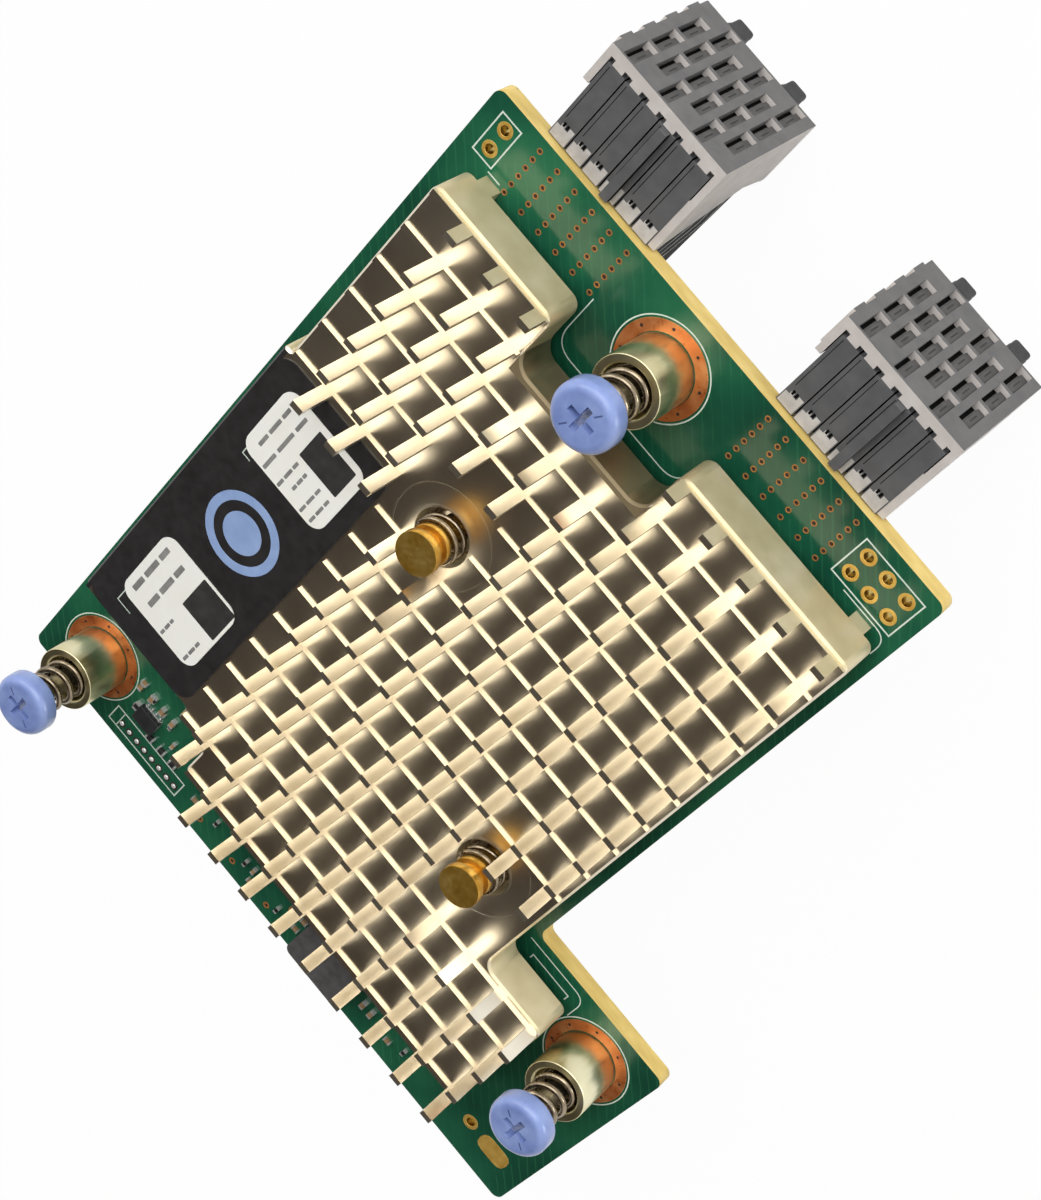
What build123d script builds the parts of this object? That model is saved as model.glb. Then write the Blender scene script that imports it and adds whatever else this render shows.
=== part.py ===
"""Mezzanine network card: an L-shaped circuit board under a cross-cut pin-fin heat sink, with two
right-angle backplane connectors, three captive screws and two sprung push pins.

Millimetres. The origin is on the front captive screw's axis at the underside of the board.
+X runs to the straight side of the board, +Y to its back edge and +Z up through the heat sink.
"""

import math
import os

from build123d import *

os.makedirs("parts", exist_ok=True)

# Circuit board
board_width = 60.24
board_depth = 95.0
board_thickness = 2.0
board_corner = 1.0
tab_width = 19.56
tab_depth = 31.16
front_screw_from_left = 32.4
front_screw_from_front = 6.66
rear_screw_from_right = 7.03
rear_screw_from_back = 6.56
side_screw_from_left = 6.5
side_screw_from_step = 6.57

# Plated holes
header_pitch = 2.54
header_hole_radius = 0.5
left_header_inset = 5.24
left_header_columns = 3
right_header_inset = 3.02
header_from_front = 2.66
header_rows = 2
debug_pitch = 1.28
debug_holes = 8
debug_hole_radius = 0.36
debug_from_right = 18.13
debug_from_back = 2.1
tooling_hole_radius = 0.55
tooling_from_left = 8.46
tooling_from_back = 4.76

# Heat sink
sink_standoff = 1.9
base_thickness = 4.85
base_edge_break = 0.25
fin_height = 4.95
first_fin_height = 2.9
fin_pitch = 4.922
fin_width = 1.4
fin_thickness = 0.7
fin_rows = 16
fin_columns = 13
rail_height = 0.35
rail_inset = 0.25
row_ledge = 0.385
sink_from_right = 3.04
sink_from_front = 7.1
sink_from_left = 1.3
sink_from_back = 12.6
sink_tab_reach = 9.0
sink_tab_gap = 1.96
notch_half_width = 8.75
notch_depth = 6.4
notch_inner_radius = 2.0
notch_outer_radius = 1.3
sink_corner = 1.0
sink_small_corner = 0.4
sink_tab_fillet = 1.5
rear_step_from_right = 23.3
rear_step_depth = 4.8
finless_step_depth = 1.8
last_fins_from_right = 18.85
fins_from_right = 7.33
foot_size = 2.0
foot_inset = 1.6

# Label on the finless strip of the base
label_front_from_front = 32.9
label_overhang = 1.0
label_margin = 0.1
label_thickness = 0.15
label_corner = 2.0
sticker_thickness = 0.08
sticker_corner = 1.6
front_sticker_width = 11.6
front_sticker_depth = 9.8
front_sticker_offset = (-0.4, -14.0)
rear_sticker_width = 11.3
rear_sticker_depth = 10.7
rear_sticker_offset = (-0.45, 11.8)

# Controller chip under the sink
chip_from_left = 21.85
chip_from_front = 45.2
substrate_size = 23.0
substrate_thickness = 0.95
lid_size = 18.0
thermal_pad_size = 17.0
thermal_pad_thickness = 0.25

# Push pins
push_offset_x = 12.96
push_offset_y = 11.87
push_clear_near = 3.2
push_clear_far = 7.4
push_hole_radius = 1.5
push_stem_radius = 1.15
push_seat_radius = 3.1
push_seat_depth = 2.5
push_head_radius = 2.3
push_head_height = 0.9
push_neck_radius = 1.6
push_neck_height = 1.1
push_collar_radius = 2.15
push_collar_height = 0.7
push_collar_lift = 1.55
push_barb_radius = 1.8
push_barb_gap = 0.2
push_tip_radius = 0.9
push_tip_length = 2.6
push_slot_width = 0.6
push_slot_length = 4.5
push_spring_radius = 2.35
push_spring_wire = 0.5
push_spring_turns = 3

# Captive screws
barrel_radius = 3.55
barrel_height = 6.1
spigot_radius = 2.6
solder_gap = 0.05
pocket_radius = 2.6
pocket_chamfer = 0.2
web_bottom = 0.6
web_thickness = 1.0
web_hole_radius = 1.45
lower_bore_radius = 1.9
screw_head_radius = 3.45
screw_head_height = 2.1
screw_head_round = 0.95
screw_head_clear = 5.3
screw_neck_radius = 1.15
screw_stop_radius = 1.6
screw_stop_height = 1.0
screw_stop_gap = 0.3
thread_radius = 1.5
thread_length = 3.0
thread_gap = 0.3
thread_chamfer = 0.35
recess_width = 0.7
recess_span = 3.0
recess_depth = 1.2
captive_spring_radius = 2.05
captive_spring_wire = 0.7
captive_spring_turns = 6
spring_end_gap = 0.04
coil_steps = 16
coil_sides = 6

# Backplane connectors
connector_spacing = 30.9
connector_width = 15.0
connector_height = 16.6
connector_rise = 1.0
connector_reach = 11.1
connector_edge_gap = 0.1
connector_seat_depth = 9.5
face_thickness = 1.0
cheek_thickness = 0.7
floor_thickness = 0.9
cheek_top_length = 4.6
cheek_bottom_length = 7.7
wafer_columns = 6
wafer_gap = 0.12
wafer_fit = 0.05
wafer_heel_rise = 2.2
slot_rows = 3
slot_width = 1.4
slot_bridge = 0.5
slot_stagger = 2.6
slot_edge_gap = 0.3
contact_thickness = 0.6
contact_end_gap = 0.5
contact_recess = 0.6
tooth_width = 1.25
tooth_length = 0.55
tooth_height = 0.6
key_rib_width = 1.0
key_rib_height = 0.8
key_rib_column = 3
key_rib_edge_gap = 0.3
hook_spacing = 7.4
hook_width = 2.2
hook_drop = 2.3
hook_length = 3.6
hook_round = 0.7
hook_slope = 0.7
side_rib_count = 4
side_rib_pitch = 3.9
side_rib_width = 2.0
side_rib_height = 0.3

# Host connector on the underside
host_length = 42.0
host_width = 6.4
host_height = 9.0
host_from_left = 25.0
host_from_back = 18.0
host_slot_length = 38.4
host_slot_width = 2.6
host_slot_depth = 7.2
host_corner = 0.8
host_contacts_per_row = 14
host_contact_end_gap = 1.4
host_contact_width = 0.8
host_contact_thickness = 0.35
host_contact_length = 6.2

# Small parts behind the sink
inductor_size = 8.6
inductor_height = 3.2
inductor_corner = 0.9
inductor_from_left = 11.85
inductor_from_back = 7.3
interface_ic_length = 3.0
interface_ic_width = 2.2
interface_ic_height = 0.9
interface_ic_from_right = 15.5
interface_ic_from_back = 6.2
interface_ic_leads = 4
interface_ic_lead_pitch = 0.65
interface_ic_lead_width = 0.25
interface_ic_lead_length = 0.5
interface_ic_lead_height = 0.3
chip_length = 1.1
chip_width = 0.6
chip_height = 0.5
capacitor_pitch = 1.77
capacitor_count = 4
capacitors_from_right = 15.2
capacitors_from_back = 8.75
filter_pitch = 1.3
filter_count = 2
filter_from_left = 5.3
filter_from_back = 3.7
resistor_pitch = 1.9
resistor_count = 3
resistors_from_right = 19.0
resistors_from_back = 4.5
corner_resistor_from_right = 13.6
corner_resistor_from_back = 6.2

# Datum lines
left = -front_screw_from_left
right = left + board_width
front = -front_screw_from_front
back = front + board_depth
tab_left = left - tab_width
tab_front = back - tab_depth
board_top = board_thickness
sink_bottom = board_top + sink_standoff
sink_floor = sink_bottom + base_thickness
sink_left = left + sink_from_left
sink_right = right - sink_from_right
sink_front = front + sink_from_front
sink_back = back - sink_from_back
sink_tab_left = sink_left - sink_tab_reach
sink_tab_front = tab_front + sink_tab_gap
notch_back = sink_front + notch_depth
label_left = right - last_fins_from_right
label_right = sink_right + label_overhang
label_front = front + label_front_from_front
rear_step_x = right - rear_step_from_right
rear_step_y = sink_back - rear_step_depth
label_back = rear_step_y - finless_step_depth
label_x = (label_left + label_right) / 2
label_y = (label_front + label_back) / 2
chip_x = left + chip_from_left
chip_y = front + chip_from_front
front_push = (chip_x + push_offset_x, chip_y - push_offset_y)
rear_push = (chip_x - push_offset_x, chip_y + push_offset_y)
front_screw = (0.0, 0.0)
rear_screw = (right - rear_screw_from_right, back - rear_screw_from_back)
side_screw = (tab_left + side_screw_from_left, tab_front + side_screw_from_step)
fins_right = right - fins_from_right
mating_face = front - connector_reach

board_outline = [
    (left, front),
    (right, front),
    (right, back),
    (tab_left, back),
    (tab_left, tab_front),
    (left, tab_front),
]
# Each corner of the base with its rounding, anticlockwise from the front left
sink_corners = [
    (sink_left, sink_front, sink_corner),
    (-notch_half_width, sink_front, notch_outer_radius),
    (-notch_half_width, notch_back, notch_inner_radius),
    (notch_half_width, notch_back, notch_inner_radius),
    (notch_half_width, sink_front, notch_outer_radius),
    (sink_right, sink_front, sink_corner),
    (sink_right, label_front, sink_small_corner),
    (label_right, label_front, sink_small_corner),
    (label_right, label_back, sink_corner),
    (label_left, label_back, sink_small_corner),
    (label_left, rear_step_y, sink_small_corner),
    (rear_step_x, rear_step_y, sink_corner),
    (rear_step_x, sink_back, sink_corner),
    (sink_tab_left, sink_back, sink_corner),
    (sink_tab_left, sink_tab_front, sink_corner),
    (sink_left, sink_tab_front, sink_tab_fillet),
]
sink_outline = [(x, y) for x, y, radius in sink_corners]
# Areas of the base left free of fins: the label strip, and a cut-out reaching outwards at each push pin
finless = [
    (label_left, label_right, label_front, label_back),
    (
        front_push[0] - push_clear_near,
        front_push[0] + push_clear_far,
        front_push[1] - push_clear_far,
        front_push[1] + push_clear_near,
    ),
    (
        rear_push[0] - push_clear_far,
        rear_push[0] + push_clear_near,
        rear_push[1] - push_clear_near,
        rear_push[1] + push_clear_far,
    ),
]


def spans(y):
    """Stretches of the base along X at a given Y."""
    crossings = []
    for (ax, ay), (bx, by) in zip(sink_outline, sink_outline[1:] + sink_outline[:1]):
        if (ay > y) != (by > y):
            crossings.append(ax + (y - ay) * (bx - ax) / (by - ay))
    crossings.sort()
    return list(zip(crossings[0::2], crossings[1::2]))


def row_middle(row):
    return sink_front + row_ledge + fin_thickness / 2 + row * fin_pitch


def rail_spans(y):
    """Stretches of one rail, inset from the edges of the base and cut at the finless areas."""
    pieces = [(a + rail_inset, b - rail_inset) for a, b in spans(y)]
    for x0, x1, y0, y1 in finless:
        if y0 < y < y1:
            cut = []
            for a, b in pieces:
                cut += [(a, min(b, x0)), (max(a, x1), b)]
            pieces = [(a, b) for a, b in cut if b - a > fin_thickness]
    return pieces


def fin_columns_at(y):
    """Middles of the fins that stand wholly on the base in a row."""
    middles = []
    for column in range(fin_columns):
        x = fins_right - fin_width / 2 - column * fin_pitch
        on_base = any(a < x - fin_width / 2 and x + fin_width / 2 < b for a, b in spans(y))
        cleared = any(x0 < x < x1 and y0 < y < y1 for x0, x1, y0, y1 in finless)
        if on_base and not cleared:
            middles.append(x)
    return middles


def upright(point):
    """Plane through a fastener's axis with the sketch running outwards and up."""
    return Plane((point[0], point[1], 0), x_dir=(1, 0, 0), z_dir=(0, -1, 0))


def axis_of(point):
    return Axis((point[0], point[1], 0), (0, 0, 1))


# Circuit board
with BuildPart() as circuit_board:
    with BuildSketch():
        with BuildLine():
            FilletPolyline(*board_outline, radius=board_corner, close=True)
        make_face()
        with Locations(front_screw, rear_screw, side_screw):
            Circle(spigot_radius + solder_gap, mode=Mode.SUBTRACT)
        with Locations(front_push, rear_push):
            Circle(push_hole_radius, mode=Mode.SUBTRACT)
        header_y = front + header_from_front + header_pitch / 2
        with Locations((left + left_header_inset, header_y)):
            with GridLocations(header_pitch, header_pitch, left_header_columns, header_rows):
                Circle(header_hole_radius, mode=Mode.SUBTRACT)
        with Locations((right - right_header_inset, header_y)):
            with GridLocations(header_pitch, header_pitch, 1, header_rows):
                Circle(header_hole_radius, mode=Mode.SUBTRACT)
        with Locations((right - debug_from_right, back - debug_from_back)):
            with GridLocations(debug_pitch, debug_pitch, debug_holes, 1):
                Circle(debug_hole_radius, mode=Mode.SUBTRACT)
        with Locations((tab_left + tooling_from_left, back - tooling_from_back)):
            Circle(tooling_hole_radius, mode=Mode.SUBTRACT)
    extrude(amount=board_thickness)
circuit_board.part.label = "circuit_board"
export_step(circuit_board.part, "parts/circuit_board.step")

# Heat sink: a plate with its outline milled round the fasteners, then rows of rails cross-cut into fins
with BuildPart() as heat_sink:
    with BuildSketch(Plane.XY.offset(sink_bottom)):
        with BuildLine():
            FilletPolyline(*sink_outline, radius=[radius for x, y, radius in sink_corners], close=True)
        make_face()
    extrude(amount=base_thickness)
    chamfer(heat_sink.faces().sort_by(Axis.Z)[-1].outer_wire().edges(), base_edge_break)
    with BuildSketch(Plane.XY.offset(sink_floor)):
        for row in range(fin_rows):
            for rail_start, rail_end in rail_spans(row_middle(row)):
                with Locations(((rail_start + rail_end) / 2, row_middle(row))):
                    Rectangle(rail_end - rail_start, fin_thickness)
    extrude(amount=rail_height)
    with BuildSketch(Plane.XY.offset(sink_floor)):
        for fin_x in fin_columns_at(row_middle(0)):
            with Locations((fin_x, row_middle(0))):
                Rectangle(fin_width, fin_thickness)
    extrude(amount=first_fin_height)
    with BuildSketch(Plane.XY.offset(sink_floor)):
        for row in range(1, fin_rows):
            for fin_x in fin_columns_at(row_middle(row)):
                with Locations((fin_x, row_middle(row))):
                    Rectangle(fin_width, fin_thickness)
    extrude(amount=fin_height)
    with Locations((*front_push, sink_floor), (*rear_push, sink_floor)):
        CounterBoreHole(push_hole_radius, push_seat_radius, push_seat_depth, depth=base_thickness)
    with BuildSketch(Plane.XY.offset(board_top)):
        foot_reach = foot_inset + foot_size / 2
        foot_front = sink_front + foot_size / 2 + base_edge_break
        with Locations(
            (sink_left + foot_reach, foot_front),
            (sink_right - foot_reach + base_edge_break, foot_front),
            (sink_tab_left + foot_reach, sink_back - foot_reach),
            (label_right - foot_reach, label_back - foot_reach),
        ):
            Rectangle(foot_size, foot_size)
    extrude(amount=sink_standoff)
heat_sink.part.label = "heat_sink"
export_step(heat_sink.part, "parts/heat_sink.step")

# Controller chip with its lid, and the thermal pad that fills the gap to the sink
with BuildPart() as controller_chip:
    with BuildSketch(Plane.XY.offset(board_top)):
        with Locations((chip_x, chip_y)):
            Rectangle(substrate_size, substrate_size)
    extrude(amount=substrate_thickness)
    with BuildSketch(Plane.XY.offset(board_top + substrate_thickness)):
        with Locations((chip_x, chip_y)):
            Rectangle(lid_size, lid_size)
    extrude(amount=sink_standoff - thermal_pad_thickness - substrate_thickness)
controller_chip.part.label = "controller_chip"
export_step(controller_chip.part, "parts/controller_chip.step")

with BuildPart() as thermal_pad:
    with BuildSketch(Plane.XY.offset(sink_bottom - thermal_pad_thickness)):
        with Locations((chip_x, chip_y)):
            Rectangle(thermal_pad_size, thermal_pad_size)
    extrude(amount=thermal_pad_thickness)
thermal_pad.part.label = "thermal_pad"
export_step(thermal_pad.part, "parts/thermal_pad.step")

# Label sheet with two stickers
with BuildPart() as label_sheet:
    with BuildSketch(Plane.XY.offset(sink_floor)):
        with Locations((label_x, label_y)):
            RectangleRounded(
                label_right - label_left - 2 * (label_margin + base_edge_break),
                label_back - label_front - 2 * (label_margin + base_edge_break),
                label_corner,
            )
    extrude(amount=label_thickness)
label_sheet.part.label = "label_sheet"
export_step(label_sheet.part, "parts/label_sheet.step")

with BuildPart() as sticker_front:
    with BuildSketch(Plane.XY.offset(sink_floor + label_thickness)):
        with Locations((label_x + front_sticker_offset[0], label_y + front_sticker_offset[1])):
            RectangleRounded(front_sticker_width, front_sticker_depth, sticker_corner)
    extrude(amount=sticker_thickness)
sticker_front.part.label = "sticker_front"
export_step(sticker_front.part, "parts/sticker_front.step")

with BuildPart() as sticker_rear:
    with BuildSketch(Plane.XY.offset(sink_floor + label_thickness)):
        with Locations((label_x + rear_sticker_offset[0], label_y + rear_sticker_offset[1])):
            RectangleRounded(rear_sticker_width, rear_sticker_depth, sticker_corner)
    extrude(amount=sticker_thickness)
sticker_rear.part.label = "sticker_rear"
export_step(sticker_rear.part, "parts/sticker_rear.step")

# Push pins: a turned brass pin with a split barb under the board, held up by a spring in the sink's counterbore
push_seat = sink_floor - push_seat_depth
collar_bottom = sink_floor + push_collar_lift
collar_top = collar_bottom + push_collar_height
push_neck_top = collar_top + push_neck_height
push_top = push_neck_top + push_head_height


def coil(point, bottom, top, radius, wire, turns):
    """Coil spring between two end heights, its helix drawn in short straight steps."""
    rise = top - bottom - wire
    steps = round(turns * coil_steps)
    helix = []
    for step in range(steps + 1):
        angle = 2 * math.pi * turns * step / steps
        x = point[0] + radius * math.cos(angle)
        y = point[1] + radius * math.sin(angle)
        helix.append((x, y, bottom + wire / 2 + rise * step / steps))
    with BuildPart() as spring:
        with BuildLine() as path:
            Polyline(*helix)
        with BuildSketch(Plane(origin=path.line @ 0, z_dir=path.line % 0)):
            RegularPolygon(wire / 2, coil_sides)
        sweep(transition=Transition.RIGHT)
    return spring.part


for place, point in (("front", front_push), ("rear", rear_push)):
    with BuildPart() as push_pin:
        with BuildSketch(upright(point)):
            with BuildLine():
                Polyline(
                    (0, -push_tip_length),
                    (push_tip_radius, -push_tip_length),
                    (push_barb_radius, -push_barb_gap - push_slot_width),
                    (push_barb_radius, -push_barb_gap),
                    (push_stem_radius, -push_barb_gap),
                    (push_stem_radius, collar_bottom),
                    (push_collar_radius, collar_bottom),
                    (push_collar_radius, collar_top),
                    (push_neck_radius, collar_top),
                    (push_neck_radius, push_neck_top),
                    (push_head_radius, push_neck_top),
                    (push_head_radius, push_top),
                    (0, push_top),
                    close=True,
                )
            make_face()
        revolve(axis=axis_of(point))
        with BuildSketch(Plane.XY.offset(-push_tip_length)):
            with Locations(point):
                Rectangle(push_slot_width, 2 * push_barb_radius)
        extrude(amount=push_slot_length, mode=Mode.SUBTRACT)
    push_pin.part.label = "push_pin_" + place
    export_step(push_pin.part, "parts/push_pin_" + place + ".step")

    push_spring = coil(
        point,
        push_seat + spring_end_gap,
        collar_bottom - spring_end_gap,
        push_spring_radius,
        push_spring_wire,
        push_spring_turns,
    )
    push_spring.label = "push_pin_spring_" + place
    export_step(push_spring, "parts/push_pin_spring_" + place + ".step")

# Captive screws: a barrel soldered into the board, a screw trapped by its web and a spring that lifts the screw
web_top = board_top + web_bottom + web_thickness
barrel_top = board_top + barrel_height
head_bottom = barrel_top + screw_head_clear
head_top = head_bottom + screw_head_height
stop_top = board_top + web_bottom - screw_stop_gap
stop_bottom = stop_top - screw_stop_height
thread_tip = -thread_gap - thread_length - thread_chamfer

for place, point in (("front", front_screw), ("rear", rear_screw), ("side", side_screw)):
    with BuildPart() as captive_barrel:
        with BuildSketch(upright(point)):
            with BuildLine():
                Polyline(
                    (lower_bore_radius, 0),
                    (spigot_radius, 0),
                    (spigot_radius, board_top),
                    (barrel_radius, board_top),
                    (barrel_radius, barrel_top),
                    (pocket_radius + pocket_chamfer, barrel_top),
                    (pocket_radius, barrel_top - pocket_chamfer),
                    (pocket_radius, web_top),
                    (web_hole_radius, web_top),
                    (web_hole_radius, web_top - web_thickness),
                    (lower_bore_radius, web_top - web_thickness),
                    close=True,
                )
            make_face()
        revolve(axis=axis_of(point))
    captive_barrel.part.label = "captive_barrel_" + place
    export_step(captive_barrel.part, "parts/captive_barrel_" + place + ".step")

    with BuildPart() as captive_screw:
        with BuildSketch(upright(point)):
            with BuildLine():
                Polyline(
                    (0, thread_tip),
                    (thread_radius - thread_chamfer, thread_tip),
                    (thread_radius, thread_tip + thread_chamfer),
                    (thread_radius, -thread_gap),
                    (screw_neck_radius, -thread_gap),
                    (screw_neck_radius, stop_bottom),
                    (screw_stop_radius, stop_bottom),
                    (screw_stop_radius, stop_top),
                    (screw_neck_radius, stop_top),
                    (screw_neck_radius, head_bottom),
                    (screw_head_radius, head_bottom),
                    (screw_head_radius, head_top - screw_head_round),
                )
                TangentArc(
                    (screw_head_radius - screw_head_round, head_top),
                    (screw_head_radius, head_top - screw_head_round),
                    tangent=(1, 0),
                )
                Polyline(
                    (screw_head_radius - screw_head_round, head_top),
                    (0, head_top),
                    (0, thread_tip),
                )
            make_face()
        revolve(axis=axis_of(point))
        with BuildSketch(Plane.XY.offset(head_top - recess_depth)):
            with Locations(point):
                Rectangle(recess_span, recess_width)
                Rectangle(recess_width, recess_span)
        extrude(amount=recess_depth, mode=Mode.SUBTRACT)
    captive_screw.part.label = "captive_screw_" + place
    export_step(captive_screw.part, "parts/captive_screw_" + place + ".step")

    captive_spring = coil(
        point,
        web_top + spring_end_gap,
        head_bottom - spring_end_gap,
        captive_spring_radius,
        captive_spring_wire,
        captive_spring_turns,
    )
    captive_spring.label = "captive_spring_" + place
    export_step(captive_spring, "parts/captive_spring_" + place + ".step")

# Backplane connectors: a shroud with a slotted face, six upright wafers behind it and the contacts in the slots
wafer_room = connector_width - 2 * cheek_thickness - 2 * wafer_fit
wafer_pitch = wafer_room / wafer_columns
wafer_front = mating_face + face_thickness
connector_bottom = connector_rise - connector_height
wafer_bottom = connector_bottom + floor_thickness + wafer_fit
wafer_back = front + connector_seat_depth
wafer_edge = front - connector_edge_gap
tooth_bottom = connector_rise - tooth_height
slot_column = connector_height - 2 * slot_edge_gap - slot_stagger
slot_pitch = (slot_column + slot_bridge) / slot_rows
slot_height = slot_pitch - slot_bridge
cheek_top_back = mating_face + cheek_top_length
cheek_bottom_back = mating_face + cheek_bottom_length


def column_x(middle, column):
    return middle + (column - (wafer_columns - 1) / 2) * wafer_pitch


def slot_middles(column):
    """Heights of the slots in one column, with every other column set lower."""
    lowered = slot_stagger if column % 2 == 0 else 0
    first = connector_rise - slot_edge_gap - lowered - slot_height / 2
    return [first - k * slot_pitch for k in range(slot_rows)]


for place, middle in (("right", connector_spacing / 2), ("left", -connector_spacing / 2)):
    with BuildPart() as connector_housing:
        with BuildSketch(Plane.XZ.offset(-mating_face)):
            with Locations((middle, (connector_rise + connector_bottom) / 2)):
                Rectangle(connector_width, connector_height)
            for column in range(wafer_columns):
                for slot_z in slot_middles(column):
                    with Locations((column_x(middle, column), slot_z)):
                        Rectangle(slot_width, slot_height, mode=Mode.SUBTRACT)
        extrude(amount=-face_thickness)
        for side in (-1, 1):
            cheek_inner = middle + side * (connector_width / 2 - cheek_thickness)
            with BuildSketch(Plane.YZ.offset(cheek_inner)):
                with BuildLine():
                    Polyline(
                        (wafer_front, connector_rise),
                        (wafer_front, connector_bottom),
                        (cheek_bottom_back, connector_bottom),
                        (cheek_top_back, connector_rise),
                        close=True,
                    )
                make_face()
            extrude(amount=side * cheek_thickness)
        with BuildSketch(Plane.XY.offset(connector_bottom)):
            with Locations((middle, (wafer_front + cheek_bottom_back) / 2)):
                Rectangle(connector_width, cheek_bottom_back - wafer_front)
        extrude(amount=floor_thickness)
        with BuildSketch(Plane.XY.offset(tooth_bottom)):
            for column in range(wafer_columns):
                with Locations((column_x(middle, column), wafer_front + tooth_length / 2)):
                    Rectangle(tooth_width, tooth_length)
        extrude(amount=tooth_height)
        for side in (-1, 1):
            with BuildSketch(Plane.YZ.offset(middle + side * hook_spacing / 2 - hook_width / 2)):
                with BuildLine():
                    Polyline(
                        (mating_face, connector_bottom),
                        (mating_face + hook_slope, connector_bottom - hook_drop),
                        (mating_face + hook_length, connector_bottom - hook_drop),
                        (mating_face + hook_length, connector_bottom),
                        close=True,
                    )
                make_face()
            extrude(amount=hook_width)
        hook_edges = connector_housing.edges().filter_by(Axis.Y).group_by(Axis.Z)[0]
        fillet(hook_edges, hook_round)
        with BuildSketch(Plane.YZ.offset(middle + connector_width / 2)):
            with Locations((mating_face + cheek_top_length / 2, (connector_rise + connector_bottom) / 2)):
                with GridLocations(side_rib_pitch, side_rib_pitch, 1, side_rib_count):
                    Rectangle(cheek_top_length, side_rib_width)
        extrude(amount=side_rib_height)
    connector_housing.part.label = "connector_housing_" + place
    export_step(connector_housing.part, "parts/connector_housing_" + place + ".step")

    with BuildPart() as connector_wafers:
        for column in range(wafer_columns):
            wafer_left = column_x(middle, column) - (wafer_pitch - wafer_gap) / 2
            with BuildSketch(Plane.YZ.offset(wafer_left)):
                with BuildLine():
                    Polyline(
                        (wafer_front, tooth_bottom - wafer_fit),
                        (wafer_front, wafer_bottom),
                        (cheek_bottom_back, wafer_bottom),
                        (wafer_back, wafer_bottom + wafer_heel_rise),
                        (wafer_back, 0),
                        (wafer_edge, 0),
                        (wafer_edge, connector_rise),
                        (wafer_front + tooth_length + wafer_fit, connector_rise),
                        (wafer_front + tooth_length + wafer_fit, tooth_bottom - wafer_fit),
                        close=True,
                    )
                make_face()
            extrude(amount=wafer_pitch - wafer_gap)
        key_start = wafer_front + tooth_length + wafer_fit
        key_end = front - key_rib_edge_gap
        with BuildSketch(Plane.XY.offset(connector_rise)):
            with Locations((column_x(middle, wafer_columns - 1 - key_rib_column), (key_start + key_end) / 2)):
                Rectangle(key_rib_width, key_end - key_start)
        extrude(amount=key_rib_height)
    connector_wafers.part.label = "connector_wafers_" + place
    export_step(connector_wafers.part, "parts/connector_wafers_" + place + ".step")

    with BuildPart() as connector_contacts:
        with BuildSketch(Plane.XZ.offset(-wafer_front)):
            for column in range(wafer_columns):
                for slot_z in slot_middles(column):
                    with Locations((column_x(middle, column), slot_z)):
                        Rectangle(contact_thickness, slot_height - 2 * contact_end_gap)
        extrude(amount=face_thickness - contact_recess)
    connector_contacts.part.label = "connector_contacts_" + place
    export_step(connector_contacts.part, "parts/connector_contacts_" + place + ".step")

# Host connector under the board
host_x = left + host_from_left
host_y = back - host_from_back
with BuildPart() as host_connector_housing:
    with BuildSketch(Plane.XY.offset(-host_height)):
        with Locations((host_x, host_y)):
            RectangleRounded(host_length, host_width, host_corner)
    extrude(amount=host_height)
    with BuildSketch(Plane.XY.offset(-host_height)):
        with Locations((host_x, host_y)):
            Rectangle(host_slot_length, host_slot_width)
    extrude(amount=host_slot_depth, mode=Mode.SUBTRACT)
host_connector_housing.part.label = "host_connector_housing"
export_step(host_connector_housing.part, "parts/host_connector_housing.step")

with BuildPart() as host_connector_contacts:
    with BuildSketch(Plane.XY.offset(host_slot_depth - host_height)):
        with Locations((host_x, host_y)):
            contact_rows = host_slot_width - host_contact_thickness
            contact_run = host_slot_length - 2 * host_contact_end_gap - host_contact_width
            contact_pitch = contact_run / (host_contacts_per_row - 1)
            with GridLocations(contact_pitch, contact_rows, host_contacts_per_row, 2):
                Rectangle(host_contact_width, host_contact_thickness)
    extrude(amount=-host_contact_length)
host_connector_contacts.part.label = "host_connector_contacts"
export_step(host_connector_contacts.part, "parts/host_connector_contacts.step")

# Small parts on the strip behind the sink
with BuildPart() as power_inductor:
    with BuildSketch(Plane.XY.offset(board_top)):
        with Locations((left + inductor_from_left, back - inductor_from_back)):
            RectangleRounded(inductor_size, inductor_size, inductor_corner)
    extrude(amount=inductor_height)
power_inductor.part.label = "power_inductor"
export_step(power_inductor.part, "parts/power_inductor.step")

interface_ic_x = right - interface_ic_from_right
interface_ic_y = back - interface_ic_from_back
with BuildPart() as interface_ic:
    with BuildSketch(Plane.XY.offset(board_top)):
        with Locations((interface_ic_x, interface_ic_y)):
            Rectangle(interface_ic_length, interface_ic_width)
    extrude(amount=interface_ic_height)
    with BuildSketch(Plane.XY.offset(board_top)):
        with Locations((interface_ic_x, interface_ic_y)):
            lead_rows = interface_ic_width + interface_ic_lead_length
            with GridLocations(interface_ic_lead_pitch, lead_rows, interface_ic_leads, 2):
                Rectangle(interface_ic_lead_width, interface_ic_lead_length)
    extrude(amount=interface_ic_lead_height)
interface_ic.part.label = "interface_ic"
export_step(interface_ic.part, "parts/interface_ic.step")

with BuildPart() as chip_capacitors:
    with BuildSketch(Plane.XY.offset(board_top)):
        with Locations((right - capacitors_from_right, back - capacitors_from_back)):
            with GridLocations(capacitor_pitch, capacitor_pitch, capacitor_count, 1):
                Rectangle(chip_width, chip_length)
        with Locations((left + filter_from_left, back - filter_from_back)):
            with GridLocations(filter_pitch, filter_pitch, filter_count, 1):
                Rectangle(chip_width, chip_length)
    extrude(amount=chip_height)
chip_capacitors.part.label = "chip_capacitors"
export_step(chip_capacitors.part, "parts/chip_capacitors.step")

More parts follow.
